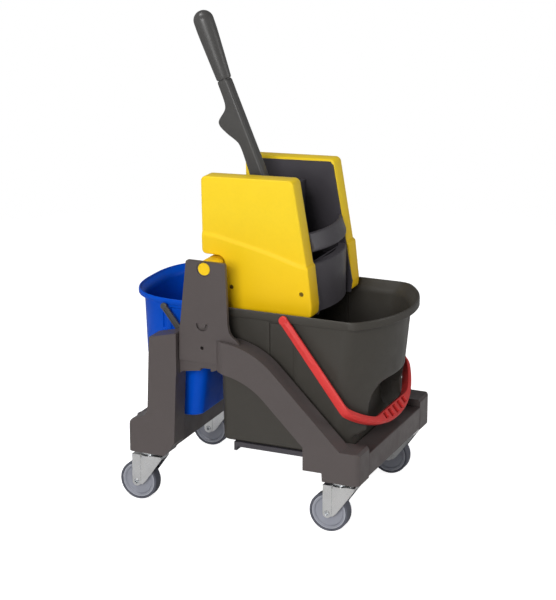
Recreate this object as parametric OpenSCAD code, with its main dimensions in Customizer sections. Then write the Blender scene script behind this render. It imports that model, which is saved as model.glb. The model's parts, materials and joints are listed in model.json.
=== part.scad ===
// Double mop bucket trolley with a lever wringer.
// Millimetres, +Z up, origin on the floor under the middle of the trolley.
// +X points to the round end of the large bucket and -Y is the near side.

/* [Frame] */
// Distance between the outer faces of the two side frames
frame_width = 400; // [390:1:412]
// Depth of a side frame, measured across the trolley
frame_depth = 44; // [40:1:46]
// Distance from the origin to the right end of the frame
frame_right = 252; // [248:1:262]
// Distance from the origin to the left end of the frame
frame_left = 240; // [236:1:248]
// Height of the end bars
bar_height = 62; // [56:1:66]
// Height of the arch crown over the underside of the bars
arch_rise = 249; // [244:1:256]
// Outer radius of the arch
arch_radius = 158; // [152:1:164]
// Depth of the arch band at its crown
arch_band = 63; // [56:1:68]
// Wall thickness of the moulded frame
frame_wall = 5; // [3:0.5:7]

/* [Casters] */
// Distance between the swivel axes along the trolley
wheel_base = 412; // [404:1:420]
// Distance between the swivel axes across the trolley
wheel_track = 332; // [326:1:338]
// Wheel diameter
wheel_dia = 80; // [72:1:88]
// Tyre width
wheel_width = 24; // [20:1:28]
// Tyre thickness
tyre_thickness = 5; // [4:0.5:9]
// Distance from the swivel axis to the axle
trail = 24; // [20:1:28]
// Axle bolt diameter
axle_dia = 8; // [6:0.5:10]
// Fork plate thickness
fork_plate = 3; // [2:0.5:4]

/* [Uprights] */
// Thickness of an upright
upright_thickness = 8; // [6:0.5:12]
// Height of an upright over the arch crown
upright_height = 154; // [150:1:160]
// Diameter of the button heads of the wringer lock pins
pin_dia = 25; // [20:0.5:26]
// Travel of a lock pin
pin_travel = 14; // [10:1:16]
// Diameter of the small fixing hole in the pad of an upright
fixing_hole_dia = 7; // [5:0.5:9]

/* [Buckets] */
// Height of the large bucket
large_height = 277; // [268:1:284]
// Gap between the rim of the large bucket and each side frame
large_gap = 3; // [2:0.5:6]
// Gap between the rim of the small bucket and each side frame
small_gap = 9; // [8.5:0.5:12]
// Wall thickness of the buckets
bucket_wall = 3; // [2:0.25:4]
// Height of the rim band of the large bucket
rim_band = 17; // [12:1:20]
// Height of the rim band of the small bucket
small_rim_band = 11; // [8:1:16]
// Width of the red bail bar
bail_bar = 18; // [14:1:20]
// Width of the dark bail bar
small_bail_bar = 12; // [10:0.5:14]

/* [Wringer] */
// Width of the wringer over its covers
wringer_width = 250; // [244:1:258]
// Thickness of one wringer cover
cover_thickness = 39; // [34:1:42]
// Wall thickness of the covers and of the wringer body
wringer_wall = 4; // [3:0.5:4.5]
// Lever shaft diameter
shaft_dia = 16; // [13:0.5:18]
// Pitch radius of the sector gears
gear_radius = 60; // [58:0.5:61]
// Number of teeth that a full gear would have
gear_teeth = 24; // [22:2:28]
// Width of a sector gear
gear_width = 8; // [6:0.5:9]
// Thickness of the press plate
press_thickness = 10; // [8:0.5:12]

/* [Lever] */
// Length of the lever from its shaft to the joint of the grip
lever_length = 289; // [275:1:300]
// Lean of the lever from the vertical
lever_lean = 21.5; // [19:0.5:24]
// Lean of the grip from the vertical
grip_lean = 21; // [18:0.1:24]
// Length of the grip
grip_length = 141; // [130:1:150]
// Thickness of the lever across the trolley
lever_thickness = 26; // [22:1:32]
// Largest diameter of the grip
grip_dia = 40; // [34:1:42]

/* [Hidden] */
$fn = 48;

// colours
frame_grey = [0.30, 0.28, 0.27];
bucket_grey = [0.20, 0.20, 0.19];
bucket_blue = [0.03, 0.28, 0.74];
cover_yellow = [0.96, 0.80, 0.12];
bail_red = [0.82, 0.20, 0.19];
lever_grey = [0.24, 0.24, 0.24];
zinc = [0.76, 0.77, 0.76];
steel = [0.62, 0.63, 0.65];
hub_grey = [0.60, 0.61, 0.67];
tyre_grey = [0.30, 0.31, 0.34];

// gaps: a nested pair in one body, a running shaft and a free gap between bodies
nest = 0.1;
run = 0.05;
free_gap = 0.5;
big = 1000;

// heights that everything hangs on
wheel_r = wheel_dia / 2;
boss_z = wheel_dia + 30;
base_z = boss_z + 2;
deck_z = base_z + bar_height;
block_z = base_z + 15;
tray_z = base_z + 19;
tray_top = tray_z + 10;
crown_z = base_z + arch_rise;
rim_z = tray_top + large_height;

// frame layout across the trolley
frame_out = frame_width / 2;
frame_in = frame_out - frame_depth;
swivel_x = wheel_base / 2;
swivel_y = wheel_track / 2;
corner_in = min(swivel_y - 22, frame_in - 4);
corner_w = 74;
right_in = frame_right - 45;
left_in = frame_left - 80;
// the right end bar lies lower than the corner blocks
right_bar_top = deck_z - 15;

// arch of the side frames
arch_x = -40;
arch_c = crown_z - arch_radius;
tail_x = arch_x + arch_radius * cos(45);
tail_z = arch_c + arch_radius * sin(45);
inner_r = 150;
inner_x = arch_x - 10;
inner_top = crown_z - arch_band;
inner_c = inner_top - inner_r;
inner_a = 45;
inner_tx = inner_x + inner_r * cos(inner_a);
inner_tz = inner_c + inner_r * sin(inner_a);
inner_end_x = frame_right - corner_w - 41;
inner_end_z = inner_tz - (inner_end_x - inner_tx) / tan(inner_a);
leg_l = -194.5;
leg_r = -130;
pad_r = -47;

// uprights
upright_out = frame_out - 10;
upright_in = upright_out - upright_thickness;
pad_z = crown_z - 49;
upright_top = crown_z + upright_height;
axis_x = -73.4;
axis_z = upright_top - 15;

// wringer, measured from the trunnion axis
cover_out = wringer_width / 2;
cover_step = 3;
liner_out = cover_out - cover_thickness;
liner_in = liner_out - wringer_wall;
wringer_bottom = axis_z - 95;
liner_bottom = wringer_bottom;
collar_in = cover_out + free_gap;
head_in = upright_in - 6;
block_out = head_in - pin_travel - 1;
shank_r = 3.6;
shank_end = block_out - 20;
shaft_x = axis_x + 60.4;
shaft_z = axis_z + 61;
front_r = 220;
front_c = axis_x + 200.4 - front_r;
front_a = asin(liner_in / front_r);

// rack and sector gears
gear_module = 2 * gear_radius / gear_teeth;
gear_pitch = PI * gear_module;
gear_pa = 20;
gear_add = 0.9 * gear_module;
gear_ded = 1.2 * gear_module;
gear_base = gear_radius * cos(gear_pa);
gear_play = 0.5;
tooth_w = gear_pitch / 2 - gear_play;
pitch_z = shaft_z - gear_radius;
rack_z = pitch_z - gear_ded - 10;
gear_in = 58;
runner_out = liner_in - 3;
rail_in = runner_out - 5;
lever_turn = 65;
press_x = shaft_x + 27;
press_front = press_x + press_thickness;
jaw_x = press_x + 82;

// return springs on the lever shaft; a leg runs straight from the coil to its hole in the rear wall
spring_wire = 1.5;
spring_pitch = 4;
spring_turns = 5;
spring_rings = 8;
spring_r = shaft_dia / 2 + 5;
spring_in = 25;
free_leg = 16;
hook_x = axis_x - 24.5;
hook_z = shaft_z - 42;
hook_d = sqrt(pow(shaft_x - hook_x, 2) + pow(shaft_z - hook_z, 2));
hook_dir = atan2(hook_z - shaft_z, hook_x - shaft_x);
hook_a = hook_dir + acos(spring_r / hook_d);
leg_len = sqrt(hook_d * hook_d - spring_r * spring_r);
leg_slope = hook_a + 90;

// buckets
large_rim = frame_in - large_gap;
small_rim = frame_in - small_gap;
red_pivot = 78;
red_z = rim_z - 11;
// the grip of the hanging bail ends so far past the face of the right end bar and over the deck
red_past = 2.4;
red_rest = 12.5;
red_run = frame_right + red_past - red_pivot;
red_drop = red_z - deck_z - red_rest;
red_reach = sqrt(red_run * red_run + red_drop * red_drop);
red_lean = atan2(red_run, red_drop);
bail_skin = 1.6;
bail_depth = 12.5;
grip_depth = 28;
red_in = large_rim + 1;
red_out = red_in + 6.5;
dark_x = -180;
dark_z = rim_z - 15;
dark_lean = 38.4;
dark_arm = 152;
dark_in = small_rim + 1;
dark_out = dark_in + 5;

// lever
lever_dir = [-sin(lever_lean), cos(lever_lean)];
lever_nrm = [cos(lever_lean), sin(lever_lean)];
grip_off = 3.2;
joint_x = shaft_x + lever_length * lever_dir[0] + grip_off * lever_nrm[0];
joint_z = shaft_z + lever_length * lever_dir[1] + grip_off * lever_nrm[1];
spigot_r = 7;
spigot_len = 62;

// helpers
module xz(y0, y1) {
  translate([0, y1, 0])
    rotate([90, 0, 0])
      linear_extrude(y1 - y0)
        children();
}

module ycyl(x, z, y0, y1, r) {
  translate([x, y1, z])
    rotate([90, 0, 0])
      cylinder(r = r, h = y1 - y0);
}

module near() {
  mirror([0, 1, 0])
    children();
}

module both_sides() {
  children();
  mirror([0, 1, 0])
    children();
}

module box(x0, x1, y0, y1, z0, z1) {
  translate([x0, y0, z0])
    cube([x1 - x0, y1 - y0, z1 - z0]);
}

// cuts the vertical edge at (x, y) round; sx and sy point out of the part
module round_edge(x, y, sx, sy, r) {
  translate([x - sx * r, y - sy * r, 0])
    difference() {
      translate([sx > 0 ? 0 : -2 * r, sy > 0 ? 0 : -2 * r, -1])
        cube([2 * r, 2 * r, big]);
      translate([0, 0, -2])
        cylinder(r = r, h = big + 4);
    }
}

function arc(cx, cz, r, a0, a1, n) =
  [for (i = [0:n]) let (a = a0 + (a1 - a0) * i / n) [cx + r * cos(a), cz + r * sin(a)]];

function round_rect(x0, x1, z0, z1, r) = concat(
  arc(x1 - r, z0 + r, r, -90, 0, 3), arc(x1 - r, z1 - r, r, 0, 90, 3),
  arc(x0 + r, z1 - r, r, 90, 180, 3), arc(x0 + r, z0 + r, r, 180, 270, 3));

// side frames
function frame_outline() = concat(
  [[-frame_left, boss_z], [-frame_left + 2, deck_z - 9], [-frame_left + 5, deck_z - 1],
   [-frame_left + 10, deck_z + 4.5], [-frame_left + 17, deck_z + 8], [leg_l - 14.5, deck_z + 11.5],
   [leg_l - 6, deck_z + 17], [leg_l - 2, deck_z + 22.5], [leg_l, deck_z + 33],
   [leg_l + 6, crown_z - 8], [leg_r - 2, crown_z + 6], [leg_r, crown_z + 4], [leg_r, crown_z]],
  arc(arch_x, arch_c, arch_radius, 90, 45, 14),
  [[tail_x + tail_z - deck_z, deck_z], [frame_right - 5, deck_z], [frame_right, deck_z - 5],
   [frame_right, boss_z], [frame_right - corner_w - 1, boss_z],
   [frame_right - corner_w - 2, block_z], [inner_end_x, block_z], [inner_end_x, inner_end_z]],
  arc(inner_x, inner_c, inner_r, inner_a, 90, 16),
  // the crown steps down under the upright, with a small notch in it
  [[inner_x - 8, inner_top - 3.5], [inner_x - 14, inner_top - 4.5], [inner_x - 14.5, inner_top + 1],
   [inner_x - 36, inner_top], [inner_x - 36.5, inner_top - 5.5]],
  arc(leg_r + 8, inner_top - 20, 9, 90, 170, 4),
  [[leg_r - 7, base_z + 26], [-left_in, boss_z]]);

function arch_pocket() = let (x = frame_right - corner_w - 8, w = frame_wall) concat(
  arc(arch_x, arch_c, arch_radius - w, 80, 45, 10),
  [[x, arch_c + (arch_radius - w) / cos(45) - (x - arch_x)], [x, block_z + w],
   [inner_end_x + w, block_z + w], [inner_end_x + w, inner_end_z + w * (1 / sin(45) - 1)]],
  arc(inner_x, inner_c, inner_r + w, inner_a, 80, 12));

module side_frame() {
  pocket_in = frame_in - 1;
  pocket_out = frame_out - frame_wall;
  difference() {
    union() {
      xz(frame_in, frame_out)
        polygon(frame_outline());
      box(-frame_left, -left_in, corner_in, frame_in + 1, boss_z, deck_z);
      box(frame_right - corner_w, frame_right, corner_in, frame_in + 1, boss_z, deck_z);
    }
    // hollow back of the arch, with two ribs left standing
    difference() {
      xz(pocket_in, pocket_out)
        polygon(arch_pocket());
      box(40, 44, 0, big, 0, big);
      box(104, 108, 0, big, 0, big);
    }
    // hollow back of the leg
    xz(pocket_in, pocket_out)
      polygon([[leg_l + frame_wall + 1, deck_z + 30], [leg_l + 6 + frame_wall, crown_z - 24],
        [leg_r - frame_wall - 2, crown_z - 8], [leg_r - frame_wall - 7, deck_z + 10]]);
    // seat of the upright in front of the crown
    box(leg_r, pad_r + 0.3, upright_in, big, crown_z - arch_band - 30, big);
    translate([0, 0, crown_z - arch_band - 30])
      linear_extrude(big)
        polygon([[pad_r + 0.2, upright_out - 0.5], [pad_r + 18, frame_out + 0.5],
          [pad_r + 0.2, frame_out + 0.5]]);
    // caster stem sockets
    for (x = [-swivel_x, swivel_x])
      translate([x, swivel_y, boss_z - 1])
        cylinder(r = 7 + nest / 2, h = 43);
    // fixing hole behind the pad of the upright
    ycyl(-78.5, pad_z + 29.5, 0, big, fixing_hole_dia / 2);
    for (x = [-112, -60]) {
      ycyl(x, pad_z + 18, 0, big, 3 + nest / 2);
      ycyl(x, pad_z + 18, 0, frame_in + 5, 7);
    }
    round_edge(frame_right, frame_out, 1, 1, 12);
    round_edge(-frame_left, frame_out, -1, 1, 12);
  }
}

module side_frame_near() {
  color(frame_grey)
    near() side_frame();
}

module side_frame_far() {
  color(frame_grey)
    side_frame();
}

// end bars: channels open at the bottom
module end_bar(x0, x1, top) {
  difference() {
    box(x0, x1, -corner_in, corner_in, base_z, top);
    box(x0 + frame_wall, x1 - frame_wall, -corner_in + frame_wall, -4, base_z - 1, top - frame_wall);
    box(x0 + frame_wall, x1 - frame_wall, 4, corner_in - frame_wall, base_z - 1, top - frame_wall);
  }
}

module left_end_bar() {
  color(frame_grey)
    end_bar(-frame_left, -left_in, deck_z);
}

module right_end_bar() {
  color(frame_grey)
    end_bar(right_in, frame_right, right_bar_top);
}

module base_tray() {
  wide_x = frame_right - corner_w;
  color(bucket_grey)
    difference() {
      union() {
        box(-33, right_in, -corner_in, corner_in, tray_z, tray_top);
        box(inner_end_x + 8, wide_x, -frame_in, frame_in, tray_z, tray_top);
        box(-33, -27, -corner_in, corner_in, tray_z - 8, tray_z + 1);
        for (y = [-90, 0, 90])
          box(-33, right_in, y - 3, y + 3, tray_z - 8, tray_z + 1);
      }
      for (x = [20, 80, 140])
        for (y = [-45, 45])
          translate([x, y, 0])
            cylinder(r = 16, h = big);
    }
}

// uprights that carry the wringer
module upright() {
  groove_z = crown_z + 27.5;
  seat_a = acos((pad_r - arch_x) / arch_radius);
  difference() {
    union() {
      // plate with a foot that runs out along the arch
      xz(upright_in, upright_out)
        polygon(concat([[-128, pad_z], [pad_r, pad_z]],
          arc(arch_x, arch_c, arch_radius + 0.3, seat_a, 75, 5),
          [[-6, crown_z + 4], [-15, crown_z + 10], [-21, crown_z + 19], [-24, crown_z + 34],
           [-28.5, upright_top - 3], [-31, upright_top], [-108, upright_top],
           [-110.5, upright_top - 1.5], [-111.5, upright_top - 4], [-127, crown_z + 8]]));
      // stiffening ribs on the back
      xz(upright_in - 12, upright_in + 1)
        polygon([[-116, crown_z + 10], [-110, crown_z + 10], [-100, upright_top - 34],
          [-105, upright_top - 34]]);
      xz(upright_in - 12, upright_in + 1)
        polygon([[-46, crown_z + 10], [-40, crown_z + 10], [-44, upright_top - 34],
          [-49, upright_top - 34]]);
    }
    ycyl(axis_x, axis_z, 0, big, pin_dia / 2 + run);
    ycyl(axis_x, axis_z, upright_out - 2, big, pin_dia / 2 + 2.2);
    // half-round groove
    difference() {
      ycyl(-78, groove_z, upright_out - 5, big, 12.5);
      ycyl(-78, groove_z, 0, big, 7.5);
      box(-big, big, 0, big, groove_z + 2, big);
    }
    ycyl(-78.5, pad_z + 29.5, 0, big, fixing_hole_dia / 2);
    for (x = [-112, -60])
      ycyl(x, pad_z + 18, upright_in - 1, upright_out - 3, 3 + nest / 2);
  }
}

module upright_near() {
  color(frame_grey)
    near() upright();
}

module upright_far() {
  color(frame_grey)
    upright();
}

module upright_screws() {
  color(steel)
    both_sides()
      for (x = [-112, -60]) {
        ycyl(x, pad_z + 18, frame_in + 4, upright_out - 4, 3);
        translate([x, frame_in + 5, pad_z + 18])
          rotate([90, 0, 0])
            cylinder(r = 5.5, h = 4, $fn = 6);
      }
}

// large grey bucket and small blue bucket
function side_pow(v, e) = sign(v) * pow(abs(v), e);

// plan of a bucket: flat at x0, round at x1, cut off flat at cap
function d_plan(x0, x1, w, cap, xs, e, rc) = concat(
  [for (i = [0:34]) let (t = -90 + 180 * i / 34)
    [min(cap, xs + (x1 - xs) * side_pow(cos(t), 2 / e)), w * side_pow(sin(t), 2 / e)]],
  [for (i = [0:4]) let (t = 90 + 90 * i / 4)
    [x0 + rc + rc * cos(t), w - rc + rc * sin(t)]],
  [for (i = [0:4]) let (t = 180 + 90 * i / 4)
    [x0 + rc + rc * cos(t), -w + rc + rc * sin(t)]]);

// lofts closed rings given as [z, x0, x1, half width, cap] into one shell
module loft(rings, xs, e, rc) {
  n = 45;
  m = len(rings);
  pts = [for (r = rings) for (p = d_plan(r[1], r[2], r[3], len(r) > 4 ? r[4] : big, xs, e, rc))
    [p[0], p[1], r[0]]];
  walls = [for (i = [0:m - 2]) for (j = [0:n - 1]) for (k = [0:1])
    let (a = i * n + j, b = i * n + (j + 1) % n)
    k == 0 ? [a, a + n, b + n] : [a, b + n, b]];
  polyhedron(concat(pts), concat(walls, [[for (j = [0:n - 1]) j]],
    [[for (j = [n - 1:-1:0]) (m - 1) * n + j]]));
}

// shell of a bucket: outer rings go up, then the rim, then inner rings go down
module bucket(outer, rim, xs, e, rc) {
  t = bucket_wall;
  n = len(outer) - 1;
  last = outer[n];
  // the inner wall runs up past the foot of the rim band, so the wall keeps its thickness there
  inner = [for (i = [n:-1:1]) let (r = outer[i])
    [i == 1 ? outer[0][0] + t : (i == n ? r[0] + 2 : r[0] - 3), r[1] + t, r[2] - t, r[3] - t,
     len(r) > 4 ? r[4] - t : big]];
  lip = [[last[0] + 1, rim[0] + 1, rim[1] - 1, rim[2] - 1],
    [rim_z - 2, rim[0], rim[1], rim[2]],
    [rim_z, rim[0] + 1.5, rim[1] - 1.5, rim[2] - 1.5],
    [rim_z, rim[0] + 3.5, rim[1] - 3.5, rim[2] - 3.5],
    [rim_z - 5, rim[0] + 4.5, rim[1] - 5, rim[2] - 4.5]];
  loft(concat(outer, lip, inner), xs, e, rc);
}

// stub that a bail snaps over
module bail_pin(x, z, y0, y1, r) {
  both_sides()
    ycyl(x, z, y0 - 4, y1 - bail_skin - 0.4, r);
}

// a shallow pocket in the straight side wall, given by the outer half width at two heights
module yz(x0, x1) {
  translate([x0, 0, 0])
    rotate([90, 0, 90])
      linear_extrude(x1 - x0)
        children();
}

module pocket_pad(x0, x1, z0, z1, w0, w1, d) {
  both_sides()
    yz(x0 - 3, x1 + 3)
      polygon([[w0 - d - 3, z0 - 3], [w0 - 1.5, z0 - 3], [w1 - 1.5, z1 + 3], [w1 - d - 3, z1 + 3]]);
}

module pocket_cut(x0, x1, z0, z1, w0, w1, d) {
  both_sides()
    yz(x0, x1)
      polygon([[w0 - d, z0], [w0 + 4, z0], [w1 + 4, z1], [w1 - d, z1]]);
}

module grey_bucket() {
  w = large_rim;
  band_z = rim_z - rim_band;
  scoop_z = deck_z + 0.5;
  top_z = scoop_z + 116;
  slope = 5 / (band_z - top_z);
  z0 = scoop_z + 66;
  z1 = band_z - 6;
  w0 = w - 14 + slope * (z0 - top_z);
  w1 = w - 14 + slope * (z1 - top_z);
  color(bucket_grey)
    difference() {
      union() {
        bucket([[tray_top, -53, right_in + 31, w - 26, right_in - 9],
          [tray_top + 4, -57, right_in + 32, w - 22, right_in - 5],
          [scoop_z, -58, right_in + 38, w - 19, right_in - 1],
          [scoop_z + 16, -58.5, right_in + 40, w - 18.5, right_in + 1.5],
          [scoop_z + 36, -59, right_in + 42, w - 18, right_in + 7],
          [scoop_z + 61, -60, right_in + 44, w - 17, right_in + 18],
          [scoop_z + 88, -61, right_in + 47, w - 15.5, right_in + 32],
          [top_z, -62, right_in + 50, w - 14, right_in + 50],
          [band_z, -64, right_in + 61, w - 9]],
          [-70, right_in + 75, w], 100, 2.7, 26);
        pocket_pad(43.5, 94, z0, z1, w0, w1, 3.4);
        bail_pin(red_pivot, red_z, w, red_out, 6);
      }
      pocket_cut(43.5, 94, z0, z1, w0, w1, 3.4);
    }
}

module blue_bucket() {
  w = small_rim;
  floor_z = deck_z + 0.3;
  band_z = rim_z - small_rim_band;
  mid_z = (floor_z + band_z) / 2;
  slope = 3 / (band_z - mid_z);
  z0 = mid_z + 63;
  z1 = band_z - 9;
  z2 = band_z - 21;
  w0 = w - 11 + slope * (z0 - mid_z);
  w1 = w - 11 + slope * (z1 - mid_z);
  color(bucket_blue)
    difference() {
      union() {
        mirror([1, 0, 0])
          bucket([[floor_z, 118, 252, w - 20], [floor_z + 4, 114, 256, w - 16],
            [mid_z, 99, 265.5, w - 11], [band_z, 84.5, 269.5, w - 8]],
            [77, 282, w], 150, 2.6, 22);
        mirror([1, 0, 0]) {
          pocket_pad(139.5, 171, z0, z1, w0, w1, 3);
          pocket_pad(180, 189, z0, z2, w0 - 3, w1 - 3, 3);
        }
        bail_pin(dark_x, dark_z, w - 6, dark_out, 3.5);
      }
      mirror([1, 0, 0]) {
        pocket_cut(139.5, 171, z0, z1, w0, w1, 3);
        pocket_cut(180, 189, z0, z2, w0 - 3, w1 - 3, 3);
      }
    }
}

// bails: built flat with the pivot at the origin and the grip at +x, then leaned
module lean_bail(x, z, lean) {
  translate([x, 0, z])
    rotate([0, 90 - lean, 0])
      children();
}

red_round = 250;
red_spread = 9;
function red_x(y, d) = red_reach - red_round + sqrt(pow(red_round + d, 2) - y * y);
function red_line(d, w, n) = [for (i = [0:n]) let (y = w * (2 * i / n - 1)) [red_x(y, d), y]];

module red_bail() {
  color(bail_red)
    lean_bail(red_pivot, red_z, red_lean)
      difference() {
        union() {
          translate([0, 0, -bail_bar / 2])
            linear_extrude(bail_bar)
              polygon(concat([[-3, -red_out]], red_line(0, red_out + red_spread, 24),
                [[-3, red_out], [-3, red_in]], red_line(-bail_depth, -red_in - red_spread, 24),
                [[-3, -red_in]]));
          // deeper hand grip
          translate([0, 0, -bail_bar / 2])
            linear_extrude(bail_bar)
              polygon(concat(red_line(1 - bail_depth, 78, 12), red_line(-grip_depth, -66, 12)));
          both_sides()
            ycyl(0, 0, red_in, red_out, bail_bar / 2);
        }
        both_sides()
          ycyl(0, 0, red_in - 1, red_out - bail_skin, 6 + run);
        // windows of the grip, closed by a thin inner rail
        for (y = [-56:28:56])
          translate([red_x(y, 4 - grip_depth), y - 6, -big / 2])
            cube([grip_depth - 14.5, 12, big]);
      }
}

module dark_bail() {
  w = dark_out;
  t = dark_out - dark_in;
  r = 24;
  color(lever_grey)
    lean_bail(dark_x, dark_z, dark_lean)
      difference() {
        union() {
          translate([0, 0, -small_bail_bar / 2])
            linear_extrude(small_bail_bar)
              polygon(concat([[0, -w]], arc(dark_arm - r, -w + r, r, -90, 0, 6),
                arc(dark_arm - r, w - r, r, 0, 90, 6), [[0, w], [0, w - t]],
                arc(dark_arm - r, w - r, r - t, 90, 0, 6),
                arc(dark_arm - r, -w + r, r - t, 0, -90, 6), [[0, -w + t]]));
          both_sides()
            ycyl(0, 0, dark_in, dark_out, small_bail_bar / 2 + 1);
        }
        both_sides()
          ycyl(0, 0, dark_in - 1, dark_out - bail_skin, 3.5 + run);
      }
}

// wringer
function cover_pts(i) = [
  [axis_x - 34.6 + i, axis_z + 12 + i], [axis_x - 33 + i, axis_z + 155 - i],
  [axis_x - 26 + i, axis_z + 162.5 - i], [axis_x + 147 - i, axis_z + 169 - i],
  [axis_x + 155.5 - i, axis_z + 162 - i], [axis_x + 182 - i, axis_z + 18],
  [axis_x + 187 - i, axis_z + 14], [axis_x + 202 - i, axis_z - 72],
  [axis_x + 201.5 - i, axis_z - 88], [axis_x + 196 - i, wringer_bottom + i],
  [axis_x + 18 + i, wringer_bottom + i], [axis_x + 13 + i, axis_z - 43],
  [axis_x + 12.6 + i, axis_z - 4], [axis_x + 8 + i, axis_z + 8], [axis_x - 3, axis_z + 12 + i]];

function crease_pts() = [[-big, axis_z + 54], [-104, axis_z + 52], [-49.5, axis_z + 44],
  [14, axis_z + 31], [66, axis_z + 17], [103, axis_z + 7], [big, axis_z + 5]];

function cover_screw_at() = [[axis_x + 28, axis_z - 49], [axis_x + 175, axis_z - 47]];

module wringer_cover() {
  plate = cover_out - wringer_wall;
  difference() {
    union() {
      xz(liner_out, cover_out - cover_step)
        polygon(cover_pts(0));
      // the lower part stands proud under the curved crease
      intersection() {
        xz(cover_out - cover_step - 1, cover_out)
          polygon(cover_pts(0));
        xz(0, big)
          polygon(concat(crease_pts(), [[big, -big], [-big, -big]]));
      }
    }
    difference() {
      xz(liner_out + 3, plate - cover_step)
        polygon(cover_pts(wringer_wall));
      for (p = cover_screw_at())
        ycyl(p[0], p[1], liner_out, plate, 6);
    }
    // the inner flange rests on the liner and leaves the middle open
    xz(liner_out - 1, liner_out + 4)
      polygon(cover_pts(16));
    for (p = cover_screw_at()) {
      ycyl(p[0], p[1], 0, big, 2 + nest / 2);
      ycyl(p[0], p[1], cover_out - 3, big, 4.5);
    }
  }
}

module wringer_cover_near() {
  color(cover_yellow)
    near() wringer_cover();
}

module wringer_cover_far() {
  color(cover_yellow)
    wringer_cover();
}

module cover_screws() {
  color(steel)
    both_sides()
      for (p = cover_screw_at()) {
        ycyl(p[0], p[1], liner_out + 4, cover_out - 3, 2);
        ycyl(p[0], p[1], cover_out - 3, cover_out - 0.5, 4);
      }
}

module wringer_body() {
  floor_x0 = axis_x + 23;
  // the rear floor passes over the back rim of the large bucket
  over_x = axis_x + 13;
  over_z = max(rim_z + 2, liner_bottom + 3);
  color(bucket_grey)
    difference() {
      union() {
        both_sides() {
          // side liner
          xz(liner_in, liner_out)
            polygon([[axis_x - 27.6, axis_z - 60], [axis_x - 27.6, axis_z + 30],
              [axis_x - 24, axis_z + 160], [axis_x + 147, axis_z + 167], [axis_x + 154, axis_z + 160],
              [axis_x + 180, axis_z + 18], [axis_x + 197, axis_z - 72], [axis_x + 194, liner_bottom],
              [floor_x0, liner_bottom], [over_x, over_z]]);
          // guide rail of the press plate
          box(axis_x - 23, jaw_x - 0.5, rail_in, liner_in + 1, rack_z - 10.5, rack_z - free_gap);
        }
        // rear wall and sloping rear floor
        xz(-liner_in - 1, liner_in + 1)
          polygon([[axis_x - 27.6, axis_z - 60], [axis_x - 27.6, axis_z + 33],
            [axis_x - 23.6, axis_z + 33], [axis_x - 23.6, axis_z - 57], [over_x + 3, over_z + 4.5],
            [floor_x0 + 4, liner_bottom + 6], [floor_x0 + 2, liner_bottom + 1],
            [floor_x0, liner_bottom + 1], [over_x, over_z]]);
        // drain floor
        difference() {
          intersection() {
            box(floor_x0 - 1, big, -liner_in - 1, liner_in + 1, liner_bottom + 1,
              liner_bottom + 6);
            translate([front_c, 0, 0])
              cylinder(r = front_r - 2, h = big, $fn = 96);
          }
          for (i = [0:6])
            box(floor_x0 + 6 + 21 * i, floor_x0 + 15 + 21 * i, -liner_in + 12, liner_in - 12, 0, big);
        }
        // convex front wall with its ledge
        intersection() {
          translate([front_c, 0, 0])
            rotate([0, 0, -front_a - 4])
              rotate_extrude(angle = 2 * front_a + 8, $fn = 96)
                polygon([[front_r - 4, liner_bottom + 2], [front_r, liner_bottom + 2],
                  [front_r, axis_z + 3], [front_r - 2, axis_z + 5], [front_r - 16, axis_z + 5],
                  [front_r - 16, axis_z + 1], [front_r - 4, axis_z + 1]]);
          box(-big, big, -liner_in - 2, liner_in + 2, 0, big);
        }
      }
      ycyl(shaft_x, shaft_z, -big / 2, big / 2, shaft_dia / 2 + 3 + nest / 2);
      // holes for the fixed legs of the return springs
      both_sides()
        translate([hook_x, spring_in, hook_z])
          rotate([0, -90 - leg_slope, 0])
            cylinder(r = spring_wire + 0.2, h = 16, center = true);
    }
}

module fixed_jaw() {
  rows = [13, 40, 67];
  color(bucket_grey)
    difference() {
      box(jaw_x, jaw_x + 5, -liner_in, liner_in, liner_bottom + 6, axis_z + 0.9);
      for (y = [-60:20:60])
        for (z = rows)
          translate([jaw_x - 1, y - 4, liner_bottom + z])
            cube([7, 8, 18]);
    }
}

module front_lip() {
  lip_a = front_a + 4;
  color(bucket_grey)
    intersection() {
      translate([front_c, 0, 0])
        rotate([0, 0, -lip_a])
          rotate_extrude(angle = 2 * lip_a, $fn = 96)
            polygon([[front_r - 17, axis_z + 61], [front_r - 14, axis_z + 64],
              [front_r - 10, axis_z + 62], [front_r - 1, axis_z + 36], [front_r - 1, axis_z + 29],
              [front_r - 5, axis_z + 26], [front_r - 9, axis_z + 36]]);
      box(-big, big, -liner_in, liner_in, 0, big);
    }
}

// hanger block of the wringer; the shank of the lock pin runs in its bore
module trunnion() {
  difference() {
    union() {
      // foot on the liner, under the notch of the cover
      xz(liner_out, collar_in + 1)
        polygon(round_rect(axis_x - 25, axis_x + 5, axis_z - 22, axis_z + 5, 6));
      xz(collar_in, block_out)
        polygon(round_rect(axis_x - 25, axis_x + 24, axis_z - 22, axis_z + 6, 6));
    }
    ycyl(axis_x, axis_z, shank_end - pin_travel - 2, big, shank_r + run);
  }
}

module trunnion_near() {
  color(cover_yellow)
    near() trunnion();
}

module trunnion_far() {
  color(cover_yellow)
    trunnion();
}

// spring-loaded pin: its head locks in the upright until it is pushed in
module lock_pin() {
  ycyl(axis_x, axis_z, head_in, upright_out - 1, pin_dia / 2);
  ycyl(axis_x, axis_z, shank_end, head_in + 1, shank_r);
}

module lock_pin_near() {
  color(cover_yellow)
    near() lock_pin();
}

module lock_pin_far() {
  color(cover_yellow)
    lock_pin();
}

module shaft_bushes() {
  color(steel)
    both_sides()
      difference() {
        union() {
          ycyl(shaft_x, shaft_z, liner_in - 3, liner_in, shaft_dia / 2 + 6);
          ycyl(shaft_x, shaft_z, liner_in - 1, liner_out, shaft_dia / 2 + 3);
        }
        ycyl(shaft_x, shaft_z, 0, big, shaft_dia / 2 + run);
      }
}

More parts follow.
